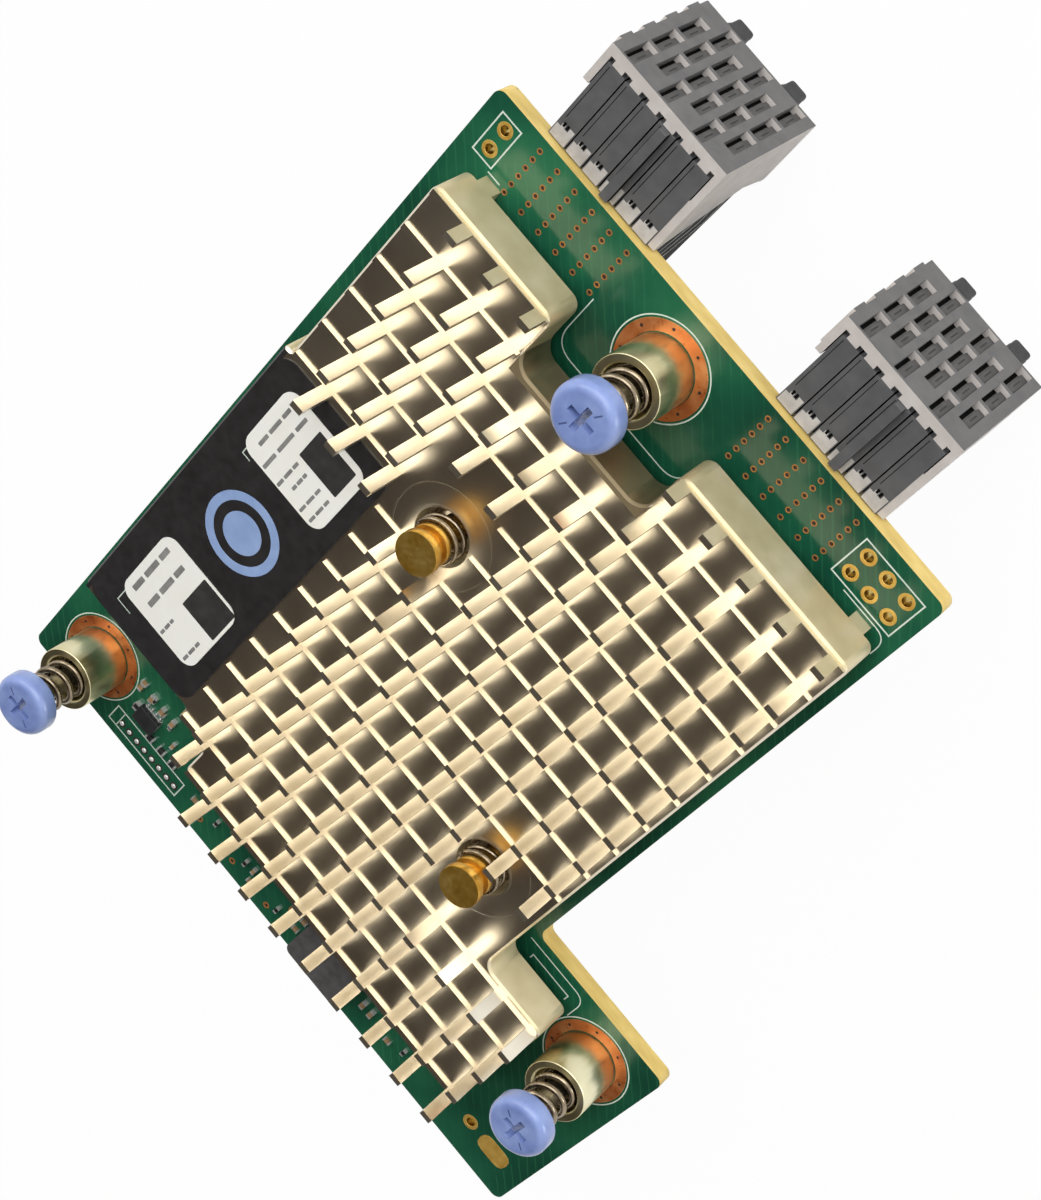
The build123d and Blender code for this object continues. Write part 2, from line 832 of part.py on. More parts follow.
with BuildPart() as chip_resistors:
    with BuildSketch(Plane.XY.offset(board_top)):
        with Locations((right - resistors_from_right, back - resistors_from_back)):
            with GridLocations(resistor_pitch, resistor_pitch, resistor_count, 1):
                Rectangle(chip_length, chip_width)
        with Locations((right - corner_resistor_from_right, back - corner_resistor_from_back)):
            Rectangle(chip_width, chip_length)
    extrude(amount=chip_height)
chip_resistors.part.label = "chip_resistors"
export_step(chip_resistors.part, "parts/chip_resistors.step")
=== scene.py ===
import math

import bmesh
import bpy
from mathutils import Matrix, Vector


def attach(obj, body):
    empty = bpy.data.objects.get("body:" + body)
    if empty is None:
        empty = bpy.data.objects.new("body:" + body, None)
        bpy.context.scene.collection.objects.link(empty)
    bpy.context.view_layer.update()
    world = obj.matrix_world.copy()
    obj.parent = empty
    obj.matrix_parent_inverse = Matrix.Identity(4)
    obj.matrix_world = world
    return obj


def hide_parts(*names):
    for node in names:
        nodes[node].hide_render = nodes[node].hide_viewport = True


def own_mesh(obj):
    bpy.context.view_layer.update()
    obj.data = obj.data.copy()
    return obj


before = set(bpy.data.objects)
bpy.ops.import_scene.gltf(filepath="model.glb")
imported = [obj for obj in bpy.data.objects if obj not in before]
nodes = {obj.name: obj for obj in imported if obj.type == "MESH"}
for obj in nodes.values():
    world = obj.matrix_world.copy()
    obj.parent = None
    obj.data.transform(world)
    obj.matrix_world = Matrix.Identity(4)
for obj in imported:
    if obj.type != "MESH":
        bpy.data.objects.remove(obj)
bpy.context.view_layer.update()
MM = 0.001

# Places taken from the part, in millimetres
BOARD_TOP = 2.0
SINK_FLOOR = 8.75
LABEL_TOP = 8.90
STICKER_TOP = 8.98
CONNECTOR_TOP = 1.0
PART_BOTTOM = -17.9
FIN_RISE = 3.6
NOTCH_REACH = (8.8, 7.6)  # the notch's half width and depth, from the front screw
LABEL_MIDDLE = (16.8, 46.34)
HOST_MIDDLE = (-7.4, 70.34)
CONNECTOR_MIDDLES = (15.45, -15.45)
SCREWS = {"front": (0.0, 0.0), "rear": (20.81, 81.78), "side": (-45.46, 63.75)}
PUSH_PINS = {"front": (2.41, 26.67), "rear": (-23.51, 50.41)}
HEADER_HOLES = [(x, y) for x in (-29.7, -27.16, -24.62, 24.82) for y in (-4.0, -1.46)]
DEBUG_HOLES = [(9.71 + 1.28 * (k - 3.5), 86.24) for k in range(8)]
TOOLING_HOLE = (-43.5, 83.58)
SIDES = ("right", "left")
COLUMNS = 6


def srgb(r, g, b):
    """A colour as it looks on screen, as the linear value a shader takes."""
    out = []
    for c in (r / 255, g / 255, b / 255):
        out.append(c / 12.92 if c <= 0.04045 else ((c + 0.055) / 1.055) ** 2.4)
    return (*out, 1.0)


def surface(
    name,
    stops,
    rough=(0.35, 0.5),
    metal=0.0,
    scale=500.0,
    stretch=(1, 1, 1),
    bump=0.0,
    coat=0.0,
    gloss=0.5,
):
    """A finish whose colour runs through stops with a noise, and its roughness with a finer one.

    gloss is how strongly it mirrors at a glance, and coat a clear layer on top.
    """
    mat = bpy.data.materials.new(name)
    mat.use_nodes = True
    tree = mat.node_tree
    bsdf = tree.nodes["Principled BSDF"]
    bsdf.inputs["Metallic"].default_value = metal
    bsdf.inputs["Coat Weight"].default_value = coat
    bsdf.inputs["Specular IOR Level"].default_value = gloss
    bsdf.inputs["Coat Roughness"].default_value = 0.12
    where = tree.nodes.new("ShaderNodeTexCoord")
    mapping = tree.nodes.new("ShaderNodeMapping")
    mapping.inputs["Scale"].default_value = stretch
    tree.links.new(where.outputs["Object"], mapping.inputs["Vector"])
    noise = tree.nodes.new("ShaderNodeTexNoise")
    noise.inputs["Scale"].default_value = scale
    noise.inputs["Detail"].default_value = 4.0
    tree.links.new(mapping.outputs["Vector"], noise.inputs["Vector"])
    ramp = tree.nodes.new("ShaderNodeValToRGB")
    while len(ramp.color_ramp.elements) < len(stops):
        ramp.color_ramp.elements.new(0.5)
    for k, (element, colour) in enumerate(zip(ramp.color_ramp.elements, stops)):
        element.position = 0.3 + 0.4 * k / max(1, len(stops) - 1)
        element.color = srgb(*colour)
    tree.links.new(noise.outputs["Fac"], ramp.inputs["Fac"])
    tree.links.new(ramp.outputs["Color"], bsdf.inputs["Base Color"])
    fine = tree.nodes.new("ShaderNodeTexNoise")
    fine.inputs["Scale"].default_value = scale * 4
    tree.links.new(mapping.outputs["Vector"], fine.inputs["Vector"])
    spread = tree.nodes.new("ShaderNodeMapRange")
    spread.inputs["From Min"].default_value = 0.3
    spread.inputs["From Max"].default_value = 0.7
    spread.inputs["To Min"].default_value = rough[0]
    spread.inputs["To Max"].default_value = rough[1]
    tree.links.new(fine.outputs["Fac"], spread.inputs["Value"])
    tree.links.new(spread.outputs["Result"], bsdf.inputs["Roughness"])
    if bump:
        relief = tree.nodes.new("ShaderNodeBump")
        relief.inputs["Strength"].default_value = bump
        relief.inputs["Distance"].default_value = 0.00004
        tree.links.new(fine.outputs["Fac"], relief.inputs["Height"])
        tree.links.new(relief.outputs["Normal"], bsdf.inputs["Normal"])
    return mat


def mask_finish():
    """Solder mask: two depths of green over a ground plane with fainter diagonal routes."""
    stops = [(18, 66, 50), (27, 88, 64), (42, 112, 78)]
    mat = surface("solder_mask", stops, (0.14, 0.24), 0.0, 70.0, coat=0.3)
    tree = mat.node_tree
    bsdf = tree.nodes["Principled BSDF"]
    base = bsdf.inputs["Base Color"].links[0].from_socket
    where = tree.nodes.new("ShaderNodeTexCoord")
    routes = tree.nodes.new("ShaderNodeTexWave")
    routes.wave_type = "BANDS"
    routes.bands_direction = "DIAGONAL"
    routes.inputs["Scale"].default_value = 420.0
    routes.inputs["Distortion"].default_value = 1.2
    tree.links.new(where.outputs["Object"], routes.inputs["Vector"])
    patches = tree.nodes.new("ShaderNodeTexVoronoi")
    patches.inputs["Scale"].default_value = 130.0
    tree.links.new(where.outputs["Object"], patches.inputs["Vector"])
    level = tree.nodes.new("ShaderNodeMapRange")
    level.inputs["From Min"].default_value = 0.85
    level.inputs["From Max"].default_value = 1.0
    level.inputs["To Max"].default_value = 0.22
    tree.links.new(routes.outputs["Fac"], level.inputs["Value"])
    where_routes = tree.nodes.new("ShaderNodeMath")
    where_routes.operation = "MULTIPLY"
    tree.links.new(level.outputs["Result"], where_routes.inputs[0])
    tree.links.new(patches.outputs["Color"], where_routes.inputs[1])
    mix = tree.nodes.new("ShaderNodeMixRGB")
    mix.inputs["Color2"].default_value = srgb(70, 150, 100)
    tree.links.new(where_routes.outputs["Value"], mix.inputs["Fac"])
    tree.links.new(base, mix.inputs["Color1"])
    tree.links.new(mix.outputs["Color"], bsdf.inputs["Base Color"])
    return mat


def sink_finish():
    """Plated metal with painted shade: darker and browner towards the base than on the fins, and
    darker and rougher in the notch, which the screw shades.
    """
    stops = [(242, 232, 211), (246, 238, 219), (249, 242, 226)]
    mat = surface("sink_metal", stops, (0.28, 0.32), 1.0, 40.0)
    tree = mat.node_tree
    bsdf = tree.nodes["Principled BSDF"]
    base = bsdf.inputs["Base Color"].links[0].from_socket
    where = tree.nodes.new("ShaderNodeTexCoord")
    axes = tree.nodes.new("ShaderNodeSeparateXYZ")
    tree.links.new(where.outputs["Object"], axes.inputs["Vector"])
    rise = tree.nodes.new("ShaderNodeMapRange")
    rise.inputs["From Min"].default_value = SINK_FLOOR * MM
    rise.inputs["From Max"].default_value = (SINK_FLOOR + FIN_RISE) * MM
    tree.links.new(axes.outputs["Z"], rise.inputs["Value"])
    # Painted shade: the colour darkens towards the base, where the fins shade it
    mix = tree.nodes.new("ShaderNodeMixRGB")
    mix.inputs["Color1"].default_value = srgb(222, 211, 190)
    tree.links.new(rise.outputs["Result"], mix.inputs["Fac"])
    tree.links.new(base, mix.inputs["Color2"])
    inside = []
    for axis, reach in (("X", NOTCH_REACH[0]), ("Y", NOTCH_REACH[1])):
        size = tree.nodes.new("ShaderNodeMath")
        size.operation = "ABSOLUTE"
        tree.links.new(axes.outputs[axis], size.inputs[0])
        within = tree.nodes.new("ShaderNodeMath")
        within.operation = "LESS_THAN"
        within.inputs[1].default_value = reach * MM
        tree.links.new(size.outputs["Value"], within.inputs[0])
        inside.append(within.outputs["Value"])
    notch = tree.nodes.new("ShaderNodeMath")
    notch.operation = "MULTIPLY"
    for k in range(2):
        tree.links.new(inside[k], notch.inputs[k])
    # Painted shade: the notch darkened, where the screw and its barrel shade it
    notch_shade_mix = tree.nodes.new("ShaderNodeMixRGB")
    notch_shade_mix.inputs["Color2"].default_value = srgb(150, 136, 108)
    tree.links.new(notch.outputs["Value"], notch_shade_mix.inputs["Fac"])
    tree.links.new(mix.outputs["Color"], notch_shade_mix.inputs["Color1"])
    tree.links.new(notch_shade_mix.outputs["Color"], bsdf.inputs["Base Color"])
    blunt = tree.nodes.new("ShaderNodeMath")
    blunt.operation = "MULTIPLY_ADD"
    blunt.inputs[1].default_value = 0.35
    tree.links.new(notch.outputs["Value"], blunt.inputs[0])
    tree.links.new(bsdf.inputs["Roughness"].links[0].from_socket, blunt.inputs[2])
    tree.links.new(blunt.outputs["Value"], bsdf.inputs["Roughness"])
    return mat


MASK = mask_finish()
FR4 = surface(
    "fr4_edge",
    [(212, 182, 102), (225, 196, 114), (236, 210, 132)],
    (0.5, 0.7), 0.0, 300.0, (1, 1, 3), bump=0.2,
)
PLATED = surface("plated_wall", [(170, 140, 70), (222, 196, 120)], (0.2, 0.35), 1.0, 900.0)
SINK = sink_finish()
SINK_SIDE = surface(
    "sink_side",
    [(200, 186, 146), (212, 199, 160), (224, 212, 178)],
    (0.42, 0.52), 0.5, 260.0, bump=0.1,
)
# Painted shade: a darker copy of the sink metal for the notch's walls
NOTCH_PAINTED_SHADE = surface("notch_painted_shade", [(128, 120, 92), (150, 141, 110)], (0.4, 0.5), 0.8, 260.0)
PACKAGE = surface("chip_package", [(26, 52, 40), (40, 70, 54)], (0.4, 0.6), 0.0, 300.0)
LID = surface("chip_lid", [(150, 150, 152), (176, 176, 178)], (0.3, 0.45), 1.0, 500.0)
PAD = surface("thermal_pad", [(120, 128, 140), (146, 152, 160)], (0.7, 0.9), 0.0, 700.0, bump=0.4)
LABEL = surface("label_black", [(30, 28, 28), (40, 38, 38)], (0.4, 0.52), 0.0, 220.0)
PAPER = surface("sticker_white", [(252, 250, 240), (255, 254, 248)], (0.6, 0.75), 0.0, 400.0)
PIN = surface(
    "push_pin_brass",
    [(196, 146, 50), (216, 170, 76), (232, 194, 106)],
    (0.28, 0.38), 0.85, 500.0,
)
STEEL = surface("spring_wire", [(120, 108, 90), (164, 150, 128)], (0.18, 0.3), 1.0, 900.0)
BARREL = surface(
    "barrel_plating",
    [(208, 198, 152), (224, 216, 174), (238, 232, 198)],
    (0.3, 0.34), 1.0, 200.0,
)
BLUE = surface(
    "screw_coat",
    [(122, 142, 200), (136, 156, 212), (150, 170, 222)],
    (0.32, 0.44), 0.0, 420.0, bump=0.1, coat=0.5,
)
# Painted shade: a darker blue for the driver groove across each screw head
GROOVE_PAINTED_SHADE = surface("screw_groove_painted_shade", [(66, 80, 130), (84, 98, 150)], (0.45, 0.6), 0.0, 700.0)
WORN = surface("worn_coat", [(120, 136, 180), (206, 208, 210)], (0.25, 0.35), 0.4, 1500.0)
THREAD = surface("screw_thread", [(120, 112, 98), (168, 160, 144)], (0.3, 0.45), 1.0, 900.0)
# Painted shade: the connectors' grey plastic as a shaded copy, for the face turned from the light
SHROUD_PAINTED_SHADE = surface(
    "shroud_painted_shade",
    [(94, 93, 93), (100, 99, 98), (106, 104, 103)],
    (0.55, 0.7), 0.0, 600.0, bump=0.2,
)
# Painted light: the same plastic as a lit copy, for the cheeks, crown, web and lips
SHROUD_PAINTED_LIT = surface(
    "shroud_painted_lit",
    [(196, 189, 184), (202, 195, 190), (208, 202, 197)],
    (0.5, 0.65), 0.0, 600.0, bump=0.15,
)
WAFER = surface(
    "wafer_grey",
    [(82, 82, 84), (88, 88, 90), (94, 94, 95)],
    (0.5, 0.65), 0.0, 600.0, bump=0.2,
)
HOOK = surface("hook_grey", [(40, 40, 41), (52, 52, 53)], (0.5, 0.65), 0.0, 600.0, bump=0.2)
# Black: painted shade on the wafers' sides and undersides and in the window wells, and the stops
# and the joints between wafers
BLACK_AND_PAINTED_SHADE = surface("black_and_painted_shade", [(7, 7, 8), (14, 14, 14)], (0.5, 0.65), 0.0, 500.0, gloss=0.04)
LEAD = surface("side_lead", [(150, 148, 142), (184, 182, 176)], (0.4, 0.5), 0.2, 900.0)
CONTACT = surface("contact_post", [(72, 71, 70), (92, 90, 88)], (0.45, 0.6), 0.0, 800.0)
HOST = surface("host_plastic", [(34, 34, 36), (48, 48, 50)], (0.5, 0.65), 0.0, 500.0, bump=0.2)
GOLD = surface("gold", [(206, 158, 66), (234, 194, 102)], (0.3, 0.42), 0.4, 900.0)
VIA_RING = surface("via_ring", [(150, 98, 46), (190, 134, 70)], (0.35, 0.5), 0.3, 900.0)
COPPER = surface(
    "copper_pad",
    [(176, 92, 46), (206, 120, 66), (226, 152, 98)],
    (0.26, 0.38), 0.6, 420.0,
)
INDUCTOR = surface("inductor_grey", [(66, 64, 64), (86, 84, 84)], (0.6, 0.8), 0.0, 900.0, bump=0.4)
CHIP = surface("chip_black", [(28, 28, 30), (42, 42, 44)], (0.4, 0.55), 0.0, 900.0, bump=0.2)
CERAMIC = surface("capacitor_body", [(150, 118, 84), (178, 146, 108)], (0.45, 0.6), 0.0, 900.0)
TIN = surface("tin_end", [(188, 188, 186), (216, 216, 214)], (0.25, 0.4), 0.5, 900.0)
RESISTOR = surface("resistor_body", [(24, 24, 26), (44, 42, 42)], (0.35, 0.5), 0.0, 900.0)
SILK = surface("silk_print", [(206, 222, 208), (224, 234, 222)], (0.6, 0.75), 0.0, 900.0)
# Dark brown: painted shade in the via and press-fit holes, and the debug pads
VIA_DARK = surface("via_dark", [(30, 18, 12), (58, 34, 20)], (0.5, 0.7), 0.0, 900.0)
RING_PRINT = surface("ring_print", [(140, 166, 212), (158, 182, 224)], (0.5, 0.6), 0.0, 500.0)
GREY_PRINT = surface("grey_print", [(122, 120, 118), (152, 150, 146)], (0.6, 0.7), 0.0, 700.0)
DARK_PRINT = surface("dark_print", [(30, 28, 28), (52, 50, 48)], (0.55, 0.7), 0.0, 700.0)
SOLDER = surface("solder_dome", [(214, 214, 212), (240, 240, 238)], (0.2, 0.3), 0.3, 900.0)
PALE_PATCH = surface("pale_patch", [(176, 172, 168), (206, 202, 198)], (0.5, 0.65), 0.0, 700.0)


def near(point, places, reach):
    """True where a point lies within reach of one of the places, seen from above."""
    return any((point[0] - x) ** 2 + (point[1] - y) ** 2 < reach * reach for x, y in places)


def paint(name, *mats, choose=None):
    """Gives a CAD node its finishes; choose(middle in mm, normal) picks one for a face."""
    mesh = nodes[name].data
    mesh.materials.clear()
    for mat in mats:
        mesh.materials.append(mat)
    for face in mesh.polygons:
        face.material_index = choose(face.center / MM, face.normal) if choose else 0


def soften(name, width=0.07, segments=2, angle=32):
    """Breaks a CAD node's sharp edges, as every made edge is, without touching its mesh."""
    node = nodes[name]
    weld = node.modifiers.new("weld", "WELD")
    weld.merge_threshold = 1e-6
    bevel = node.modifiers.new("edges", "BEVEL")
    bevel.width = width * MM
    bevel.segments = segments
    bevel.limit_method = "ANGLE"
    bevel.angle_limit = math.radians(angle)
    bevel.harden_normals = True
    for face in node.data.polygons:
        face.use_smooth = max(abs(c) for c in face.normal) < 0.9999


def board_face(middle, normal):
    """Mask on the flat faces, plating in the holes, and bare laminate at the edges."""
    if abs(normal.z) > 0.5:
        return 0
    holes = HEADER_HOLES + DEBUG_HOLES + [TOOLING_HOLE]
    hole_reach, barrel_reach = 0.8, 3.2
    if near(middle, holes, hole_reach) or near(middle, SCREWS.values(), barrel_reach):
        return 2
    return 1


paint("circuit_board", MASK, FR4, PLATED, choose=board_face)


def sink_face(middle, normal):
    """Sawn, duller walls on the base, painted shade on the walls in the notch, and a black strip
    past the label.
    """
    strip_left, strip_front, strip_back, strip_low = 25.5, 26.5, 69.0, 8.5
    notch_half, notch_back = 8.7, 7.4
    front_wall, tab_wall, tab_front_wall = 0.9, -31.2, 59.6
    upright = abs(normal.z) < 0.5
    if middle.x > strip_left and strip_front < middle.y < strip_back and middle.z > strip_low:
        return 2
    in_notch = abs(middle.x) < notch_half and middle.y < notch_back
    # The notch's walls take the darker copy of the metal: painted shade
    if in_notch and upright and middle.z < SINK_FLOOR - 0.1:
        return 3
    on_edge = middle.y < front_wall or middle.x < tab_wall and middle.y < tab_front_wall
    if normal.y < -0.5 and on_edge:
        return 1
    return 1 if upright and middle.z < SINK_FLOOR - 0.3 else 0


paint("heat_sink", SINK, SINK_SIDE, LABEL, NOTCH_PAINTED_SHADE, choose=sink_face)
LID_LEVEL = 2.97
paint("controller_chip", PACKAGE, LID, choose=lambda middle, normal: int(middle.z > LID_LEVEL))
paint("thermal_pad", PAD)
paint("label_sheet", LABEL)
paint("sticker_front", PAPER)
paint("sticker_rear", PAPER)


def screw_face(middle, normal):
    """Blue head, worn to the metal at the floor of its recess, on a bare shank."""
    head_bottom, recess_top, recess_reach = 13.0, 15.2, 1.8
    if middle.z < head_bottom:
        return 1
    in_recess = middle.z < recess_top and near(middle, SCREWS.values(), recess_reach)
    return 2 if in_recess and normal.z > 0.9 else 0


for place in PUSH_PINS:
    paint("push_pin_" + place, PIN)
    paint("push_pin_spring_" + place, STEEL)
for place in SCREWS:
    paint("captive_barrel_" + place, BARREL)
    paint("captive_screw_" + place, BLUE, THREAD, WORN, choose=screw_face)
    paint("captive_spring_" + place, STEEL)


def shroud_face(middle, normal):
    """Painted light: a lit copy of the grey plastic on the cheeks and crown, a shaded copy on the
    face, and darker hooks.
    """
    hook_top, face_back = -15.65, -16.7
    if middle.z < hook_top:
        return 2
    return 1 if abs(normal.x) > 0.5 and middle.y > face_back or normal.z > 0.5 else 0


def wafer_face(middle, normal):
    """Painted shade: black on the sides and undersides, grey on top."""
    return 1 if abs(normal.x) > 0.5 or normal.z < -0.2 else 0


for side in SIDES:
    paint("connector_housing_" + side, SHROUD_PAINTED_SHADE, SHROUD_PAINTED_LIT, HOOK, choose=shroud_face)
    paint("connector_wafers_" + side, WAFER, BLACK_AND_PAINTED_SHADE, choose=wafer_face)
    paint("connector_contacts_" + side, CONTACT)
paint("host_connector_housing", HOST)
paint("host_connector_contacts", GOLD)
paint("power_inductor", INDUCTOR)
IC_LEADS_TOP = BOARD_TOP + 0.31
paint("interface_ic", CHIP, TIN, choose=lambda middle, normal: int(middle.z < IC_LEADS_TOP))
paint("chip_capacitors", CERAMIC)
paint("chip_resistors", RESISTOR)

soften("heat_sink", 0.17)
soften("circuit_board", 0.05, angle=60)
for place in PUSH_PINS:
    soften("push_pin_" + place, 0.1)
for place in SCREWS:
    soften("captive_barrel_" + place, 0.1)
    soften("captive_screw_" + place, 0.08)
for side in SIDES:
    soften("connector_housing_" + side, 0.08)
    soften("connector_wafers_" + side, 0.06)
    soften("connector_contacts_" + side, 0.04)
soften("host_connector_housing", 0.1)
soften("power_inductor", 0.25, 3)
soften("interface_ic", 0.05)
soften("chip_capacitors", 0.06)
soften("chip_resistors", 0.05)


def piece(name, mesh, mat, body="card", smooth=False):
    """A new piece of the object from a bmesh in millimetres."""
    data = bpy.data.meshes.new(name)
    bmesh.ops.scale(mesh, vec=(MM, MM, MM), verts=mesh.verts)
    bmesh.ops.recalc_face_normals(mesh, faces=mesh.faces)
    mesh.to_mesh(data)
    mesh.free()
    data.polygons.foreach_set("use_smooth", [smooth] * len(data.polygons))
    data.materials.append(mat)
    obj = bpy.data.objects.new(name, data)
    bpy.context.scene.collection.objects.link(obj)
    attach(obj, body)
    return obj


def around(centre, radius, angle):
    """The point on a circle at an angle in radians, seen from above."""
    return (centre[0] + radius * math.cos(angle), centre[1] + radius * math.sin(angle))


def circle(centre, radius, z, count):
    """Points of a level circle at height z."""
    turn = 2 * math.pi / count
    return [(*around(centre, radius, k * turn), z) for k in range(count)]


def skin(mesh, loops, closed=True, cap_first=False, cap_last=False):
    """Walls between loops of points of equal count."""
    rows = [[mesh.verts.new(p) for p in loop] for loop in loops]
    count = len(rows[0])
    steps = count if closed else count - 1
    for a, b in zip(rows, rows[1:]):
        for k in range(steps):
            j = (k + 1) % count
            mesh.faces.new((a[k], a[j], b[j], b[k]))
    if cap_first:
        mesh.faces.new(rows[0])
    if cap_last:
        mesh.faces.new(rows[-1])


def annulus(mesh, centre, inner, outer, z, height=0.03, count=48):
    """A flat ring with a rounded rim, lying on z."""
    rim = min(height, (outer - inner) / 4)
    skin(
        mesh,
        [
            circle(centre, outer, z, count),
            circle(centre, outer - rim * 0.3, z + height * 0.7, count),
            circle(centre, outer - rim, z + height, count),
            circle(centre, inner + rim, z + height, count),
            circle(centre, inner, z, count),
        ],
    )


def dot(mesh, centre, radius, z, height=0.02, count=16):
    """A low round spot with a sloping rim, lying on z."""
    rim = circle(centre, radius, z, count)
    top = circle(centre, radius * 0.85, z + height, count)
    skin(mesh, [rim, top], cap_last=True)


def ribbon(mesh, points, width, z, height=0.02, closed=False):
    """A printed line of even width along points, mitred at the corners."""
    left_side, right_side = [], []
    count = len(points)
    for k, point in enumerate(points):
        p = Vector(point)
        before = Vector(points[k - 1]) if k or closed else None
        after = Vector(points[(k + 1) % count]) if k < count - 1 or closed else None
        a = (p - before).normalized() if before is not None else (after - p).normalized()
        b = (after - p).normalized() if after is not None else a
        along = (a + b).normalized() if (a + b).length > 1e-6 else a
        across = Vector((-along.y, along.x))
        reach = width / 2 / max(0.4, across.dot(Vector((-a.y, a.x))))
        left_side.append(p + across * reach)
        right_side.append(p - across * reach)
    loops = [
        [(q.x, q.y, z) for q in left_side],
        [(q.x, q.y, z + height) for q in left_side],
        [(q.x, q.y, z + height) for q in right_side],
        [(q.x, q.y, z) for q in right_side],
    ]
    skin(mesh, loops, closed=closed)


def eased(points, radius, steps=8):
    """An open line with its corners rounded."""
    line = [points[0]]
    for before, here, after in zip(points, points[1:], points[2:]):
        here = Vector(here)
        a, b = Vector(before) - here, Vector(after) - here
        start, end = here + a.normalized() * radius, here + b.normalized() * radius
        for k in range(steps + 1):
            t = k / steps
            line.append(tuple(start * (1 - t) ** 2 + here * 2 * t * (1 - t) + end * t * t))
    return line + [points[-1]]


def rounded(corners, radius, offset=0.0, steps=6):
    """An outline with each corner rounded and the whole moved outwards by offset."""
    count = len(corners)
    moved = []
    for k in range(count):
        before, here = Vector(corners[k - 1]), Vector(corners[k])
        after = Vector(corners[(k + 1) % count])
        a, b = (here - before).normalized(), (after - here).normalized()
        out = Vector((a.y, -a.x)) + Vector((b.y, -b.x))
        moved.append(here + out * offset)
    points = []
    for k in range(count):
        before, here, after = moved[k - 1], moved[k], moved[(k + 1) % count]
        a, b = (before - here), (after - here)
        r = min(radius, a.length * 0.45, b.length * 0.45)
        start, end = here + a.normalized() * r, here + b.normalized() * r
        for s in range(steps + 1):
            t = s / steps
            points.append(tuple(start * (1 - t) ** 2 + here * 2 * t * (1 - t) + end * t * t))
    return points


def slab(mesh, centre, size, z0, z1, corner=0.1, edge=0.05):
    """A block with rounded upright corners and a broken top edge."""
    x, y = centre
    dx, dy = size[0] / 2, size[1] / 2
    base = [(x - dx, y - dy), (x + dx, y - dy), (x + dx, y + dy), (x - dx, y + dy)]
    full = rounded(base, corner, steps=3)
    top = rounded(base, corner, offset=-edge / 2, steps=3)
    loops = [
        [(px, py, z0) for px, py in full],
        [(px, py, z1 - edge) for px, py in full],
        [(px, py, z1) for px, py in top],
    ]
    skin(mesh, loops, cap_first=True, cap_last=True)


def coil(centre, radius, wire, z0, z1, turns, steps=32, sides=10):
    """A round-wire compression spring with its end turns closed."""
    mesh = bmesh.new()
    total = int(turns * steps)
    loops = []
    ends = 0.75
    climb = z1 - z0 - wire
    closed_rise = wire * ends
    for k in range(total + 1):
        t = k / steps
        if t < ends:
            rise = closed_rise * t / ends
        elif t > turns - ends:
            rise = climb - closed_rise * (turns - t) / ends
        else:
            rise = closed_rise + (climb - 2 * closed_rise) * (t - ends) / (turns - 2 * ends)
        z = z0 + wire / 2 + rise
        angle = 2 * math.pi * t
        out = Vector((math.cos(angle), math.sin(angle), 0))
        middle = Vector((centre[0], centre[1], z)) + out * radius
        up = Vector((0, 0, 1))
        loop = []
        for s in range(sides):
            a = 2 * math.pi * s / sides
            loop.append(tuple(middle + out * math.cos(a) * wire / 2 + up * math.sin(a) * wire / 2))
        loops.append(loop)
    skin(mesh, loops, cap_first=True, cap_last=True)
    return mesh


# Springs as smooth wire, each set on a body of the part that presses it:
# coil radius, wire, lower and upper end, and turns
SCREW_SPRING = (2.05, 0.7, 3.64, 13.36, 6)
PIN_SPRING = (2.35, 0.5, 6.29, 10.26, 3)


def spring_wire(name, point, form, body):
    """A coil in place of a CAD spring, and its upper end in metres."""
    wire = piece(name, coil(point, *form), STEEL, body, True)
    return wire, (point[0] * MM, point[1] * MM, form[3] * MM)


for place, point in SCREWS.items():
    spring, top = spring_wire("spring_wire_" + place, point, SCREW_SPRING, place + "_captive_lift")
    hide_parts("captive_spring_" + place)
    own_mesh(spring)
for place, point in PUSH_PINS.items():
    spring, top = spring_wire("pin_spring_wire_" + place, point, PIN_SPRING, place + "_push_pin")
    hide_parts("push_pin_spring_" + place)
    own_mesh(spring)

# Copper lands under the barrels, with their vias as dark dots of painted shade, and printed
# circles
LAND_INNER, LAND_OUTER, LAND_HEIGHT = 3.6, 4.9, 0.03
LAND_VIAS, LAND_VIA_CIRCLE, LAND_VIA_RADIUS = 8, 4.3, 0.17
PRINT_INNER, PRINT_OUTER, PRINT_HEIGHT = 5.1, 5.24, 0.02
lands, land_vias, circles = bmesh.new(), bmesh.new(), bmesh.new()
for point in SCREWS.values():
    annulus(lands, point, LAND_INNER, LAND_OUTER, BOARD_TOP, LAND_HEIGHT, 72)
    annulus(circles, point, PRINT_INNER, PRINT_OUTER, BOARD_TOP, PRINT_HEIGHT, 72)
    for k in range(LAND_VIAS):
        via = around(point, LAND_VIA_CIRCLE, math.radians(22.5 + 45 * k))
        dot(land_vias, via, LAND_VIA_RADIUS, BOARD_TOP + LAND_HEIGHT, 0.01)
piece("copper_lands", lands, COPPER)
piece("land_vias", land_vias, VIA_DARK)

